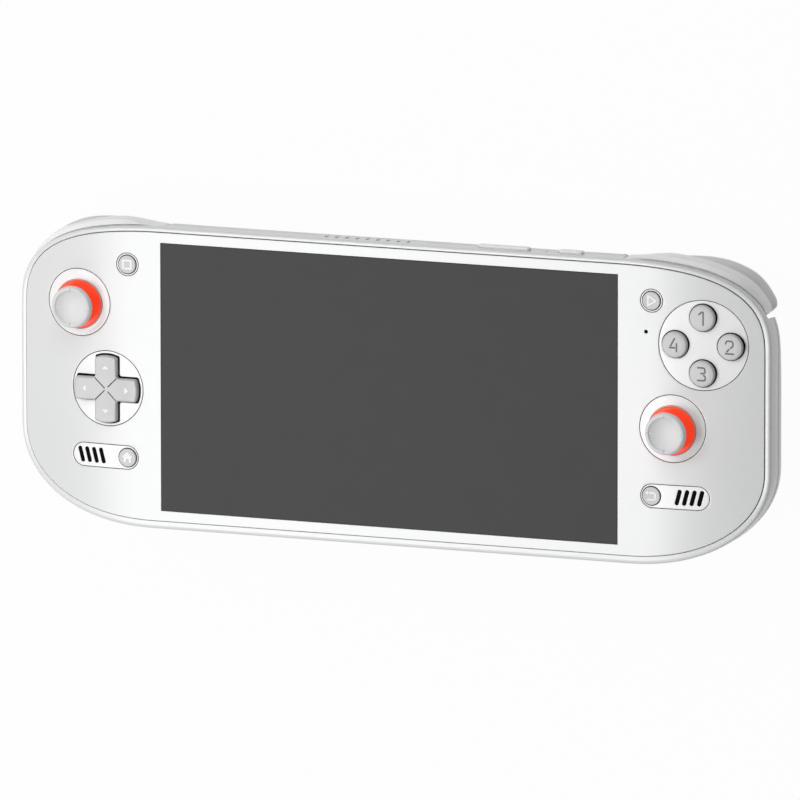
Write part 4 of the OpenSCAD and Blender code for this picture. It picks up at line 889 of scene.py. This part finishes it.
def shoulderSection(t):
    past = topPoint(t, 0, 0)[0] - shoulder["inner"]
    top = band["top"]
    high = mix(top, shoulder["rise"], smooth(0.0, shoulder["riseSpan"], past))
    high -= shoulder["endDrop"] * easedEnd(t) + shoulder["draw"] * drawnIn(t)
    near, far = shoulder["depth"], shoulder["depth"] + shoulder["thick"]
    inner = -shoulder["wall"]
    slit = float(smooth(*shoulder["slitSpan"], past))  # a groove parts it from the band
    edge = top + shoulder["slit"][0] * slit
    low = near + shoulder["slit"][1] * slit
    return [(inner, low, 0.1), (edge - 0.05, low, 0.1), (edge, near + 0.05 + 0.15 * slit, 0.2),
            (edge + 0.03 + 0.3 * slit, near + 0.1 + 0.04 * slit, 0.3),
            (mix(edge, high, 0.9), near + 1.4, 0.8), (mix(edge, high, 0.985), near + 2.8, 1.0),
            (high, near + 4.9, 1.0), (high - 0.1, far - 0.9, 0.7), (high - 0.8, far, 0.5), (inner, far, 0.1)]


def triggerSection(t):
    past = topPoint(t, 0, 0)[0] - trigger["inner"]
    high = mix(trigger["start"], trigger["rise"], smooth(*trigger["riseSpan"], past))
    high -= trigger["endDrop"] * easedEnd(t) + trigger["draw"] * drawnIn(t)
    near = shoulder["depth"] + shoulder["thick"] + trigger["gap"]
    full = trigger["thick"] * mix(trigger["thinEnd"], 1, smooth(0.0, trigger["thickSpan"], past))
    inner = -trigger["wall"]
    return [(inner, near, 0.1), (high - 0.9, near, 0.5), (high - 0.3, near + full * 0.12, 0.8),
            (high, near + full * 0.38, 2.0), (high - 0.5, near + full * 0.62, 2.0),
            (high - 1.7, near + full * 0.82, 1.8), (high - 3.6, near + full * 0.96, 1.2),
            (high - 5.4, near + full, 0.6), (inner - 0.4, near + full * 0.9, 0.1)]


def roundedEnds(sections, steps=4):
    # draws the first and last outlines in a little, so that the ends are not sharp
    first, last = [], []
    for k in range(steps):
        pull = shoulder["endRound"] * (1 - math.sin(math.pi / 2 * k / steps))
        for section, store in ((np.asarray(sections[0]), first), (np.asarray(sections[-1]), last)):
            middle = section.mean(axis=0)
            reach = np.linalg.norm(section - middle, axis=1)[:, None]
            store.append((middle + (section - middle) * (1 - pull / np.maximum(reach, 1.0))).tolist())
    return first, last[::-1]


def cornerButton(name, innerX, sectionAt, side, steps=64):
    angles = np.linspace(cornerAngle(innerX), math.radians(shoulder["end"]), steps)
    sections = [roundPath(sectionAt(t), steps=4) for t in angles]
    first, last = roundedEnds(sections)
    ease = [shoulder["endRound"] * (1 - math.cos(math.pi / 2 * k / len(first))) for k in range(len(first))]
    span = 46.0  # mm of travel for one radian of the corner angle, near enough for the end rounding
    before = [angles[0] - e / span for e in ease]
    after = [angles[-1] + e / span for e in ease[::-1]]
    return cornerSweep(name, before + list(angles[1:-1]) + after, first + sections[1:-1] + last, side)


for side, name in ((-1, "left"), (1, "right")):
    button = cornerButton(name + "ShoulderButton", shoulder["inner"], shoulderSection, side)
    # the shoulder button takes the brighter white, partly a painted highlight on its bevel
    settle(button, name + "_shoulder", "shell", bezelWhite, [name + "_shoulder_button"], angle=40)
    pull = cornerButton(name + "Trigger", trigger["inner"], triggerSection, side)
    settle(pull, name + "_trigger_lever", "trigger", triggerGrey, [name + "_trigger"], angle=40)
print("shoulder buttons and triggers made")

# sticks
stick = {
    "sag": 0.5, "pivotDepth": 3.5, "capRadius": 6.85, "capRise": 7.6, "dish": 1.8, "neck": 3.2, "post": 1.5,
    "postEnd": -2.6, "notchHalf": 0.26, "notchDepth": 0.35, "notchBand": 0.9, "notchIn": (4.9, 5.3),
    "notchOut": (5.95, 6.2), "skirtRadius": 7.5, "skirtRise": 1.1, "skirtWall": 0.8, "skirtEnd": 0.03,
    "hollowEnd": 0.52, "orangeDepth": 0.5, "fit": 0.02, "ballClear": 0.12, "lip": 0.3, "flange": 1.2,
}
rimZ = stick["skirtRise"] + stick["pivotDepth"]
ballRadius = math.hypot(stick["skirtRadius"], rimZ)


def capNotches(points):
    # four small cuts across the rim of the dish
    radius = np.hypot(points[:, 0], points[:, 1])
    nearest = np.minimum(np.abs(points[:, 0]), np.abs(points[:, 1]))
    rim = smooth(*stick["notchIn"], radius) * (1 - smooth(*stick["notchOut"], radius))
    high = points[:, 2] > stick["capRise"] + stick["pivotDepth"] - stick["notchBand"]
    across = 1 - smooth(0.6 * stick["notchHalf"], 1.3 * stick["notchHalf"], nearest)
    sink = stick["notchDepth"] * rim * high * across
    return points - np.column_stack((np.zeros((len(points), 2)), sink))


def capProfile():
    r, h = stick["capRadius"], stick["capRise"] + stick["pivotDepth"]
    neck, post, low = stick["neck"], stick["post"], stick["postEnd"]
    bowl = [(u * (r - 1.6), h - mix(stick["dish"], 0.42, u ** 2.3), 0) for u in np.linspace(0, 1, 14)]
    rim = [(r - 1.38, h - 0.1, 0.12), (r - 1.1, h, 0.22), (r - 0.55, h - 0.24, 0.5), (r - 0.08, h - 0.9, 0.6)]
    under = [(r, h - 1.6, 0.7), (r - 0.4, h - 2.5, 1.0), (r - 1.6, h - 3.1, 0.6), (neck, h - 3.3, 0.3)]
    stem = [(neck, rimZ + 0.1, 0), (post, rimZ + 0.1, 0), (post, low, 0), (0, low, 0)]
    return roundPath(bowl + rim + under + stem, closed=False, steps=5)


def ballArc(radius, first, last, steps):
    return [(radius * math.cos(a), radius * math.sin(a)) for a in np.linspace(first, last, steps)]


def skirtProfile():
    first = math.atan2(rimZ - 0.2, stick["skirtRadius"] + 0.06)
    ball = ballArc(ballRadius, first, stick["skirtEnd"], 20)
    hollow = ballArc(ballRadius - stick["skirtWall"], stick["skirtEnd"], stick["hollowEnd"], 12)
    bore = stick["post"] + stick["fit"]
    top = [(bore, rimZ, 0), (stick["skirtRadius"] - stick["fit"], rimZ, 0.2), ball[0] + (0,)]
    return roundPath(top, closed=False) + ball[1:] + hollow + [(bore, hollow[-1][1])]


def makeLightRing(name, ringPlace):
    # the pale ring lies in the plate and rises to the ball, which sits a little below its middle
    seat = ballRadius + stick["ballClear"]
    outerR, lipZ = controls["ringRadius"] - body["seam"], stick["pivotDepth"] + stick["lip"]
    innerR, flangeR = math.sqrt(seat * seat - lipZ * lipZ), outerR + stick["flange"]
    under, low = -body["underDepth"], -body["bezelDepth"]
    path = [(innerR, stick["lip"], 0.1), (mix(innerR, outerR, 0.5), 0.06, 0.8),
            (outerR, -body["bezelSink"], 0.12), (outerR, under, 0), (flangeR, under, 0.05),
            (flangeR, low, 0.05), (seat + 0.3, low, 0.1), (seat + 0.05, under - 0.3, 0.1)]

    def bend(points):
        share = smooth(innerR, outerR, np.hypot(points[:, 0], points[:, 1]))
        sag = stick["sag"] * (1 - share)
        fall = share * (drop(ringPlace[0]) - drop(points[:, 0] + ringPlace[0]))
        return points + np.column_stack((np.zeros(len(points)), -sag, fall))

    centre = (ringPlace[0], ringPlace[1], float(topZ(ringPlace[0])))
    ring = lathePiece(name + "LightRing", roundPath(path), centre, 144, closed=True, bend=bend)
    settleFront(ring, "light_ring", [bezelWhite, paintedGapShade], name + "_light_ring", angle=40)


for name, ringPlace in (("left", leftStick), ("right", rightStick)):
    pivotZ = float(topZ(ringPlace[0])) - stick["pivotDepth"]
    pivot = (ringPlace[0], ringPlace[1] - stick["sag"], pivotZ)
    cap = lathePiece(name + "StickCap", capProfile(), pivot, 256, bend=capNotches)
    settle(cap, name + "_stick", "stick_cap", capGrey, [name + "_stick_cap"], angle=40)
    skirt = lathePiece(name + "StickSkirt", skirtProfile(), pivot, 144, closed=True)
    skirtAndShade = [skirtOrangeGlow, buttonGrey]
    settle(skirt, name + "_stick", "stick_skirt", skirtAndShade, [name + "_stick_skirt"], angle=40)
    # the ball below the orange rim takes the grey button finish, a painted shade that shows as a dark line
    # round the orange
    paintFaces(skirt, lambda p: p[:, 2] < pivotZ + rimZ - stick["orangeDepth"])
    makeLightRing(name, ringPlace)
print("sticks made")

# direction pad
pad = {
    "arm": 7.4, "radius": 10.9, "rise": 2.2, "gap": 0.5, "pivotDepth": 4.4, "pivotClear": 1.4, "edge": 0.6,
    "corner": 0.8, "dish": 0.3, "dishRadius": 8.5, "slice": 1.0, "groove": 0.34, "grooveDepth": 0.4,
    "grooveReach": 4.8, "grooveLow": 1.2, "arrowAt": 7.2, "arrow": 1.32, "arrowRise": 0.03, "wallShadeDepth": -0.2,
}


def crossLoop(extra):
    half, reach = pad["arm"] / 2 + extra, pad["radius"] + extra
    tilt = math.asin(half / reach)
    arm = [(reach * math.cos(-tilt), -half, pad["corner"])]
    arm += [(reach * math.cos(a), reach * math.sin(a), 0) for a in np.linspace(-0.5 * tilt, 0.5 * tilt, 7)]
    arm += [(reach * math.cos(tilt), half, pad["corner"]), (half, half, pad["corner"])]
    corners = []
    for k in range(4):
        places = turned([(x, y) for x, y, r in arm], k * math.pi / 2)
        corners += [place + (r,) for place, (x, y, r) in zip(places, arm)]
    return roundPath(corners, steps=5)


def dishDepth(radius):
    return pad["dish"] * np.maximum(0, 1 - (radius / pad["dishRadius"]) ** 2)


def dishPad(points):
    top = points[:, 2] > -1.2 * pad["edge"]
    sink = dishDepth(np.hypot(points[:, 0], points[:, 1])) * top
    return points + np.column_stack((np.zeros((len(points), 2)), -sink)) + [*padPlace, padTop]


padTop = float(topZ(padPlace[0])) + pad["rise"]
padShadeZ = padTop - pad["rise"] - pad["wallShadeDepth"]
padFloor = padTop - pad["dish"]
padShape = plateShape([crossLoop(0)], pad["pivotDepth"] + pad["rise"] - pad["pivotClear"], pad["edge"], 5)
for axis in "xy":
    sliceShape(padShape, axis, np.arange(-10, 10.5, pad["slice"]))
sliceShape(padShape, "z", [padShadeZ - padTop])
directionPad = shapePiece("directionPad", padShape, dishPad)
grooveZ = padFloor - pad["grooveDepth"]
for sx, sy, near in ((-1, 1, 0.4), (-1, -1, 0.4), (1, 1, 0.85), (1, -1, 0.85)):
    stroke = strokePath([(sx * 3.5, sy * 3.5), (sx * near, sy * near)], pad["groove"])
    cutWith(directionPad, prismPiece("groove", stroke, (*padPlace, grooveZ), (1, 0, 0), (0, 1, 0), 2))
settle(directionPad, "pad", "button", [buttonGrey, paintedGapShade], ["direction_pad"], angle=35, weighted=True)


def shadeOnPad(p):
    # the side walls and the grooves, which take a painted shade
    inGroove = np.hypot(p[:, 0] - padPlace[0], p[:, 1] - padPlace[1]) < pad["grooveReach"]
    inGroove &= (p[:, 2] < padFloor - 0.02) & (p[:, 2] > padTop - pad["grooveLow"])
    return (p[:, 2] < padShadeZ) | inGroove


paintFaces(directionPad, shadeOnPad)
size, arrowAt = pad["arrow"], pad["arrowAt"]
arrowCorners = [(arrowAt + 0.6 * size, 0, 0.12), (arrowAt - 0.5 * size, 0.85 * size, 0.12),
                (arrowAt - 0.5 * size, -0.85 * size, 0.12)]
arrows = [turned(roundPath(arrowCorners, steps=3), k * math.pi / 2) for k in range(4)]
arrowZ = padTop + pad["arrowRise"] - float(dishDepth(arrowAt))
padArrows = shapePiece("padArrows", plateShape(arrows, 0.2, 0.03, 1), lambda p: p + [*padPlace, arrowZ])
settle(padArrows, "pad", "button", iconWhite)
padLoops = [circlePath(controls["padRadius"] - body["seam"], *padPlace),
            shifted(crossLoop(pad["gap"]), padPlace)]
padBezel = bezelPiece("padBezel", padLoops, body["edge"], 1.0)
settleFront(padBezel, "bezel", [bezelWhite, paintedGapShade], "pad_bezel", weighted=True)
print("direction pad made")

# action buttons, marked with plain numerals
face = {
    "pitch": 8.95, "radius": 4.25, "rise": 1.5, "hole": 4.55, "edge": 0.5, "flange": 0.9, "flangeThick": 1.0,
    "flangeClear": 0.1, "markWidth": 0.56, "markDepth": 0.16, "markRise": 0.1, "markThick": 0.12,
    "wallShadeDepth": -0.25,
}
numerals = {
    "top": [[(-0.85, 1.25, 0), (0.0, 2.05, 0)], [(0.55, 2.05, 0), (0.55, -2.05, 0)]],
    "right": [[(-1.25, 1.15, 0), (-1.0, 2.05, 0.9), (1.15, 2.05, 0.9), (1.2, 0.5, 0.6), (0.35, -0.2, 0)],
              [(-0.2, -0.65, 0), (-0.85, -1.4, 0)], [(-1.3, -2.05, 0), (1.3, -2.05, 0)]],
    "bottom": [[(-1.2, 2.05, 0), (1.2, 2.05, 0.8), (1.2, 0.25, 0.8), (-0.1, 0.25, 0)],
               [(0.75, -0.4, 0), (1.3, -0.7, 0.4), (1.3, -2.05, 0.8), (-1.2, -2.05, 0)]],
    "left": [[(0.2, 2.05, 0), (-1.15, -0.35, 0)], [(-1.45, -0.9, 0), (0.2, -0.9, 0)],
             [(0.85, 0.5, 0), (0.85, -2.05, 0)]],
}
faceTurns = {"top": 90, "right": 0, "bottom": 270, "left": 180}


def actionProfile(low):
    r, top, wall, edge = face["radius"], face["rise"], -face["wallShadeDepth"], face["edge"]
    ledge, flangeR = low + face["flangeThick"], r + face["flange"]
    crown = [(0, top, 0), (r - 1.6, top - 0.02, 1.0), (r - 0.18, top - 0.1, edge), (r, top - 0.9, 0.3)]
    foot = [(r, wall, 0), (r, ledge, 0), (flangeR, ledge, 0.1), (flangeR, low, 0.1), (0, low, 0)]
    return roundPath(crown + foot, closed=False)


faceHoles = []
for name, degrees in faceTurns.items():
    a = math.radians(degrees)
    x, y = facePlace[0] + face["pitch"] * math.cos(a), facePlace[1] + face["pitch"] * math.sin(a)
    faceHoles.append(circlePath(face["hole"], x, y, steps=96))
    surface = float(topZ(x))
    slack = surface - float(topZ(x + face["radius"] + 1))  # the bezel falls away with the wing
    low = -body["bezelDepth"] - face["flangeClear"] - slack - face["flangeThick"]
    button = lathePiece(name + "ActionButton", actionProfile(low), (x, y, surface), 128)
    markZ = surface + face["rise"] - face["markDepth"]
    marks = [strokePath(roundPath(line, closed=False), face["markWidth"]) for line in numerals[name]]
    for stroke in marks:
        cutWith(button, prismPiece("mark", stroke, (x, y, markZ), (1, 0, 0), (0, 1, 0), 1))
    settle(button, "button_" + name, "button", [buttonGrey, paintedGapShade], ["face_button_" + name],
           angle=35, weighted=True)
    # the side wall, from a little above the bezel down, takes a painted shadow for the dark gap round the
    # button
    paintFaces(button, lambda p: p[:, 2] < surface - face["wallShadeDepth"])
    inlay = shapePiece(name + "ActionMark", plateShape(marks, face["markThick"], 0.02, 1),
                       lambda p: p + [x, y, markZ + face["markRise"]])
    settle(inlay, "button_" + name, "button", markGrey)
faceBezelLoops = [circlePath(controls["faceRadius"] - body["seam"], *facePlace)] + faceHoles
faceBezel = bezelPiece("actionBezel", faceBezelLoops, body["edge"], 1.0)
settleFront(faceBezel, "bezel", [bezelWhite, paintedGapShade], "face_button_bezel", weighted=True)
print("action buttons made")

# menu buttons and speaker bezels
menu = {
    "radius": 2.95, "hole": 3.2, "rise": 0.4, "flange": 0.6, "flangeThick": 0.8, "flangeClear": 0.2,
    "iconThick": 0.3, "iconSink": 0.02, "line": 0.52, "wallShadeDepth": 0.02,
}
iconSquare = [roundPath(rectangleCorners(1.6, 1.6, 0.5)), roundPath(rectangleCorners(1.05, 1.05, 0.15))]
iconPlay = [roundPath([(-1.35, 2.1, 0.45), (-1.35, -2.1, 0.45), (2.15, 0, 0.45)]),
            roundPath([(-0.75, 1.1, 0.1), (-0.75, -1.1, 0.1), (1.08, 0, 0.15)])]
houseLeft = [(-1.9, 0.2, 0.15), (-1.3, 0.2, 0.05), (-1.3, -1.5, 0.1), (-0.5, -1.5, 0.05), (-0.5, -0.4, 0.05)]
houseRight = [(-x, y, r) for x, y, r in reversed(houseLeft)]
iconHouse = [roundPath([(0, 1.9, 0.15)] + houseLeft + houseRight, steps=3)]
returnLine = [(-0.6, 1.0, 0), (1.4, 1.0, 0.6), (1.4, -1.25, 0.6), (-1.3, -1.25, 0)]
iconReturn = [strokePath(roundPath(returnLine, closed=False), menu["line"]),
              roundPath([(-2.0, 1.0, 0.1), (-1.0, 1.85, 0.1), (-1.0, 0.15, 0.1)], steps=3)]
menuButtons = {
    "select": (-menuX, menuY, iconSquare), "start": (menuX, menuY, iconPlay),
    "home": (-homeX, pillY, iconHouse), "return": (homeX, pillY, iconReturn),
}


def menuProfile():
    r, top, wall = menu["radius"], menu["rise"], -menu["wallShadeDepth"]
    low = -body["bezelDepth"] - menu["flangeClear"] - menu["flangeThick"]
    ledge, flangeR = low + menu["flangeThick"], r + menu["flange"]
    crown = [(0, top - 0.1, 0), (r - 1.0, top - 0.06, 0.8), (r - 0.06, top, 0.3), (r, top - 0.4, 0.1)]
    foot = [(r, wall, 0), (r, ledge, 0), (flangeR, ledge, 0.05), (flangeR, low, 0.05), (0, low, 0)]
    return roundPath(crown + foot, closed=False, steps=5)


for name, (x, y, icon) in menuButtons.items():
    surface = float(topZ(x))
    button = lathePiece(name + "Button", menuProfile(), (x, y, surface), 96)
    settle(button, "button_" + name, "button", [buttonGrey, paintedGapShade], [name + "_button"], angle=40)
    # the side wall below the bezel's face takes a painted shade for the gap round the button
    paintFaces(button, lambda p: p[:, 2] < surface - menu["wallShadeDepth"])
    mark = shapePiece(name + "Icon", plateShape(icon, menu["iconThick"], 0.03, 1),
                      lambda p: p + [x, y, surface + menu["rise"] - menu["iconSink"]])
    settle(mark, "button_" + name, "button", iconWhite)

rings = []
for side in (-1, 1):
    ringLoops = [circlePath(radius, side * menuX, menuY, steps=72)
                 for radius in (controls["menuRadius"] - body["seam"], menu["hole"])]
    rings.append(bezelPiece("ring", ringLoops, body["fineEdge"], 0.8))
menuRings = joinPieces("menuRings", rings)
settleFront(menuRings, "bezel", [bezelWhite, paintedGapShade], "menu_button_rings", weighted=True)

slots = {
    "count": 4, "pitch": 2.44, "width": 1.36, "length": 5.2, "lean": 14.5, "depth": 1.6, "sunk": 0.14,
    "outerGap": 3.0, "clothGap": 0.06,
}
slotOut = pillOut - slots["outerGap"]
slotIn = slotOut - (slots["count"] - 1) * slots["pitch"]
slotW, slotL, clothGap = slots["width"], slots["length"], slots["clothGap"]
pillW, pillH = pillOut - pillIn - 2 * body["seam"], pillHigh - 2 * body["seam"]
for side, name in ((-1, "left"), (1, "right")):
    lean = -side * slots["lean"]
    bezelLoops = [pillPath(pillW, pillH, side * pillMiddle, pillY, steps=48),
                  circlePath(menu["hole"], side * homeX, pillY, steps=72)]
    for i in range(slots["count"]):
        slotX = side * (slotOut - i * slots["pitch"])
        bezelLoops.append(pillPath(slotW, slotL, slotX, pillY, math.radians(lean), steps=12))
    bezel = bezelPiece(name + "SpeakerBezel", bezelLoops, body["fineEdge"], 0.8)
    settleFront(bezel, "bezel", [bezelWhite, paintedGapShade], name + "_speaker_bezel", weighted=True)
    row = dict(slots, width=slotW - clothGap, length=slotL - clothGap, lean=lean)
    firstX = slotIn if side > 0 else -slotOut
    clothDepth = slots["depth"] + slots["sunk"]
    cloth = slotRow(name + "SpeakerCloth", row, lambda p: np.column_stack((
        p[:, 0] + firstX, p[:, 1] + pillY, p[:, 2] - clothDepth + topZ(p[:, 0] + firstX))))
    settle(cloth, "console", "mesh", meshBlack)
print("menu buttons and speakers made")

# top keys
keyTop, keyIn = body["halfHeight"] + band["top"] + keys["rise"], body["halfHeight"] - band["inner"]


def keyPiece(name, x, length, depthIn):
    shape = plateShape([pillPath(length, keys["width"], steps=20)], keyTop - keyIn + depthIn, keys["edge"], 4)
    return shapePiece(name, shape, lambda p: np.column_stack((p[:, 0] + x, p[:, 2] + keyTop, keyZ + p[:, 1])))


power = keyPiece("powerKey", *keys["power"], keys["powerIn"])
settle(power, "power", "button", bezelWhite, ["power_button"], angle=40, weighted=True)
volume = keyPiece("volumeKey", *keys["volume"], keys["volumeIn"])
settle(volume, "volume", "button", bezelWhite, ["volume_rocker"], angle=40, weighted=True)

# ports in the lower edge
usbParts = {
    "wall": (0.6, 0.7), "sink": 0.3, "length": 7.0, "end": 0.4, "tongue": (3.35, 0.35), "tongueFrom": 1.3,
    "tongueTo": 7.4, "contactsX": -2.75, "contactsY": 3.5, "contactsZ": -0.39,
}
contacts = {"count": 12, "pitch": 0.5, "width": 0.26, "length": 3.6, "depth": 0.78}
lowY, usbZ = body["halfHeight"] + band["low"], frontZ - usbDepth


def lowPort(name, loops, x, z, inward, length, bevel):
    shape = plateShape(loops, length, bevel)
    y = inward - lowY
    return shapePiece(name, shape, lambda p: np.column_stack((p[:, 0] + x, y - p[:, 2], z + p[:, 1])))


wallX, wallZ = usbParts["wall"]
usbOuter, usbInner = pillPath(usbW, usbH), pillPath(usbW - wallX, usbH - wallZ)
usbEnd = usbParts["sink"] + usbParts["length"]
usbShell = joinPieces("usbShell", [
    lowPort("rim", [usbOuter, usbInner], usbX, usbZ, usbParts["sink"], usbParts["length"], 0.08),
    lowPort("end", [usbOuter], usbX, usbZ, usbEnd, usbParts["end"], 0.05)])
settle(usbShell, "console", "steel", steelBare, ["usb_c_port"], angle=40, weighted=True)
tongueX, tongueZ = usbParts["tongue"]
tongue = boxPiece("usbTongue", (usbX - tongueX, usbParts["tongueFrom"] - lowY, usbZ - tongueZ),
                  (usbX + tongueX, usbParts["tongueTo"] - lowY, usbZ + tongueZ), 0.08)
settle(tongue, "console", "dark_plastic", darkPlastic, weighted=True)
contactRow = slotRow("usbContacts", contacts, lambda p: p + [
    usbX + usbParts["contactsX"], usbParts["contactsY"] - lowY, usbZ + usbParts["contactsZ"]], goldContact)
settle(contactRow, "console", "steel", goldContact)
jackEnd = jackLength + 1
jackPath = [(jackBore, 0.3), (jackBore + 0.1, 0.06), (jackOuter - 0.1, 0), (jackOuter, 0.1),
            (jackOuter, jackEnd), (0, jackEnd), (0, jackLength), (jackBore, jackLength)]
jack = lathePiece("headphoneJack", jackPath, (0, 0, 0), 64, closed=True)
jackPlace = Vector((jackX, liftY - lowY + 0.2, frontZ - jackDepth)) * mm
jack.data.transform(Matrix.Translation(jackPlace) @ Matrix(((1, 0, 0), (0, 0, 1), (0, -1, 0))).to_4x4())
settle(jack, "console", "dark_plastic", darkPlastic, ["headphone_jack"], angle=40)
print("keys and ports made")


# case screws: one screw, placed on points by a node tree
def screwTree(pattern):
    tree = bpy.data.node_groups.new("screwSet", "GeometryNodeTree")
    addSockets(tree, "INPUT", {"Geometry": "Geometry", "Turn": "Float", "Finish": "Material"})
    addSockets(tree, "OUTPUT", {"Geometry": "Geometry"})
    add, link = tree.nodes.new, tree.links.new
    start, end = add("NodeGroupInput"), add("NodeGroupOutput")
    source, spread = add("GeometryNodeObjectInfo"), add("GeometryNodeInstanceOnPoints")
    index, angle = add("GeometryNodeInputIndex"), mathNode(tree, "MULTIPLY")
    turn = add("ShaderNodeCombineXYZ")
    source.inputs["Object"].default_value = pattern
    link(index.outputs[0], angle.inputs[0])
    link(start.outputs["Turn"], angle.inputs[1])
    link(angle.outputs[0], turn.inputs["Z"])
    link(start.outputs["Geometry"], spread.inputs["Points"])
    link(source.outputs["Geometry"], spread.inputs["Instance"])
    link(turn.outputs[0], spread.inputs["Rotation"])
    closeTree(tree, start, spread, end)
    return tree


headLoop, socketLoop = circlePath(screws["head"], steps=48), circlePath(screws["socket"], steps=6)
stemPath = roundPath([(0, 0, 0), (screws["shank"], 0, 0), (screws["shank"], screws["stem"], 0.1),
                      (0, screws["stem"], 0)], closed=False)
pattern = joinPieces("screwPattern", [
    shapePiece("rim", plateShape([headLoop, socketLoop], screws["rimThick"], 0.14, 3),
               lambda p: p + [0, -liftY, -screws["discThick"]]),
    shapePiece("disc", plateShape([headLoop], screws["discThick"], 0.05, 1), lambda p: p + [0, -liftY, 0]),
    lathePiece("stem", stemPath, (0, -liftY, 0), 32)])
screwPoints = [(side * x, y, seatZ - screws["sink"]) for side in (-1, 1) for x, y in screws["places"]]
screwSet = makePiece("caseScrews", screwPoints, [])
screwStep = screwSet.modifiers.new("screws", "NODES")
screwStep.node_group = screwTree(pattern)
setInputs(screwStep, {"Turn": screws["turn"], "Finish": steelBare})
applyModifiers(screwSet)
bpy.data.objects.remove(pattern)
settle(screwSet, "console", "steel", steelBare, ["back_screws"], angle=40)
print("screws made")

# floor, light and camera
stage = {
    "floor": 12.0, "floorZ": -0.0002, "floorWhite": 0.97, "paper": (0.65, 0.65, 0.65, 1), "worldLight": 0.18,
}
floorMesh = bpy.data.meshes.new("floor")
floorCorners = [(sx * stage["floor"], sy * stage["floor"], stage["floorZ"]) for sx, sy in squareSigns]
floorMesh.from_pydata(floorCorners, [], [(0, 1, 2, 3)])
floor = newObject("floor", floorMesh)


def seenMask(tree):
    # 1 for camera, mirror and see-through rays, 0 for light that bounces
    path = tree.nodes.new("ShaderNodeLightPath")
    first, second = mathNode(tree, "MAXIMUM"), mathNode(tree, "MAXIMUM")
    tree.links.new(path.outputs["Is Camera Ray"], first.inputs[0])
    tree.links.new(path.outputs["Is Glossy Ray"], first.inputs[1])
    tree.links.new(first.outputs[0], second.inputs[0])
    tree.links.new(path.outputs["Is Transmission Ray"], second.inputs[1])
    return second.outputs[0]


def floorFinish():
    made = bpy.data.materials.new("floorPaper")
    made.use_nodes = True
    tree = made.node_tree
    tree.nodes.clear()
    paper = groupNode(tree, "ShaderNodeBsdfDiffuse", Color=stage["paper"])
    white = groupNode(tree, "ShaderNodeEmission", Strength=1.0)
    share = mathNode(tree, "MULTIPLY", None, stage["floorWhite"])
    blend, end = tree.nodes.new("ShaderNodeMixShader"), tree.nodes.new("ShaderNodeOutputMaterial")
    tree.links.new(seenMask(tree), share.inputs[0])
    tree.links.new(share.outputs[0], blend.inputs["Fac"])
    tree.links.new(paper.outputs[0], blend.inputs[1])
    tree.links.new(white.outputs[0], blend.inputs[2])
    tree.links.new(blend.outputs[0], end.inputs["Surface"])
    return made


floorMesh.materials.append(floorFinish())
world = bpy.data.worlds.new("studio")
bpy.context.scene.world = world
world.use_nodes = True
worldTree = world.node_tree
worldTree.nodes.clear()
dim = groupNode(worldTree, "ShaderNodeBackground", Color=(1, 1, 1, 1), Strength=stage["worldLight"])
bright = groupNode(worldTree, "ShaderNodeBackground", Color=(1, 1, 1, 1), Strength=1.0)
worldBlend = worldTree.nodes.new("ShaderNodeMixShader")
worldEnd = worldTree.nodes.new("ShaderNodeOutputWorld")
cameraRay = worldTree.nodes.new("ShaderNodeLightPath")
worldTree.links.new(cameraRay.outputs["Is Camera Ray"], worldBlend.inputs["Fac"])
worldTree.links.new(dim.outputs[0], worldBlend.inputs[1])
worldTree.links.new(bright.outputs[0], worldBlend.inputs[2])
worldTree.links.new(worldBlend.outputs[0], worldEnd.inputs["Surface"])

lamps = {
    "key": {"aim": (-0.42, 0.38, 0.82), "far": 1.4, "size": 0.4, "power": 4.6},
    "gloss": {"aim": (-0.342, -0.195, 0.919), "far": 1.3, "size": 0.42, "power": 6.3},
    "lowFront": {"aim": (-0.25, -0.75, 0.6), "far": 1.4, "size": 0.6, "power": 2.2},
    "leftTop": {"aim": (-0.75, 0.5, 0.42), "far": 1.4, "size": 0.5, "power": 1.0},
    "top": {"aim": (0.15, 0.75, 0.65), "far": 1.4, "size": 0.6, "power": 2.8},
}
lampTarget = Vector((0, 0, 0.02))
for name, lamp in lamps.items():
    light = bpy.data.lights.new(name, "AREA")
    light.shape = "SQUARE"
    light.size = lamp["size"]
    light.energy = lamp["power"]
    holder = newObject(name, light)
    aim = Vector(lamp["aim"]).normalized()
    holder.location = lampTarget + aim * lamp["far"]
    holder.rotation_euler = (-aim).to_track_quat("-Z", "Y").to_euler()

# the camera's turn in degrees, distance and shift from the screen's middle in mm, focal length in pixels
view = {
    "turn": (-11.2412, 20.4148, -0.0566), "distance": 5814.22, "shift": (-3.778, 2.101), "focal": 18290.6,
    "frame": 800.0, "sensor": 36.0, "clipEnd": 50.0,
}
camera = bpy.data.cameras.new("camera")
camera.sensor_width = view["sensor"]
camera.lens = view["focal"] / view["frame"] * view["sensor"]
camera.clip_end = view["clipEnd"]
cameraObject = newObject("camera", camera)
cameraTurn = Euler([math.radians(a) for a in view["turn"]])
eye = cameraTurn.to_matrix() @ Vector((-view["shift"][0], -view["shift"][1], view["distance"]))
cameraObject.location = (eye + Vector((0, liftY, frontZ))) * mm
cameraObject.rotation_euler = cameraTurn
bpy.context.scene.camera = cameraObject
bpy.context.scene.view_settings.view_transform = "Standard"

print("scene made")
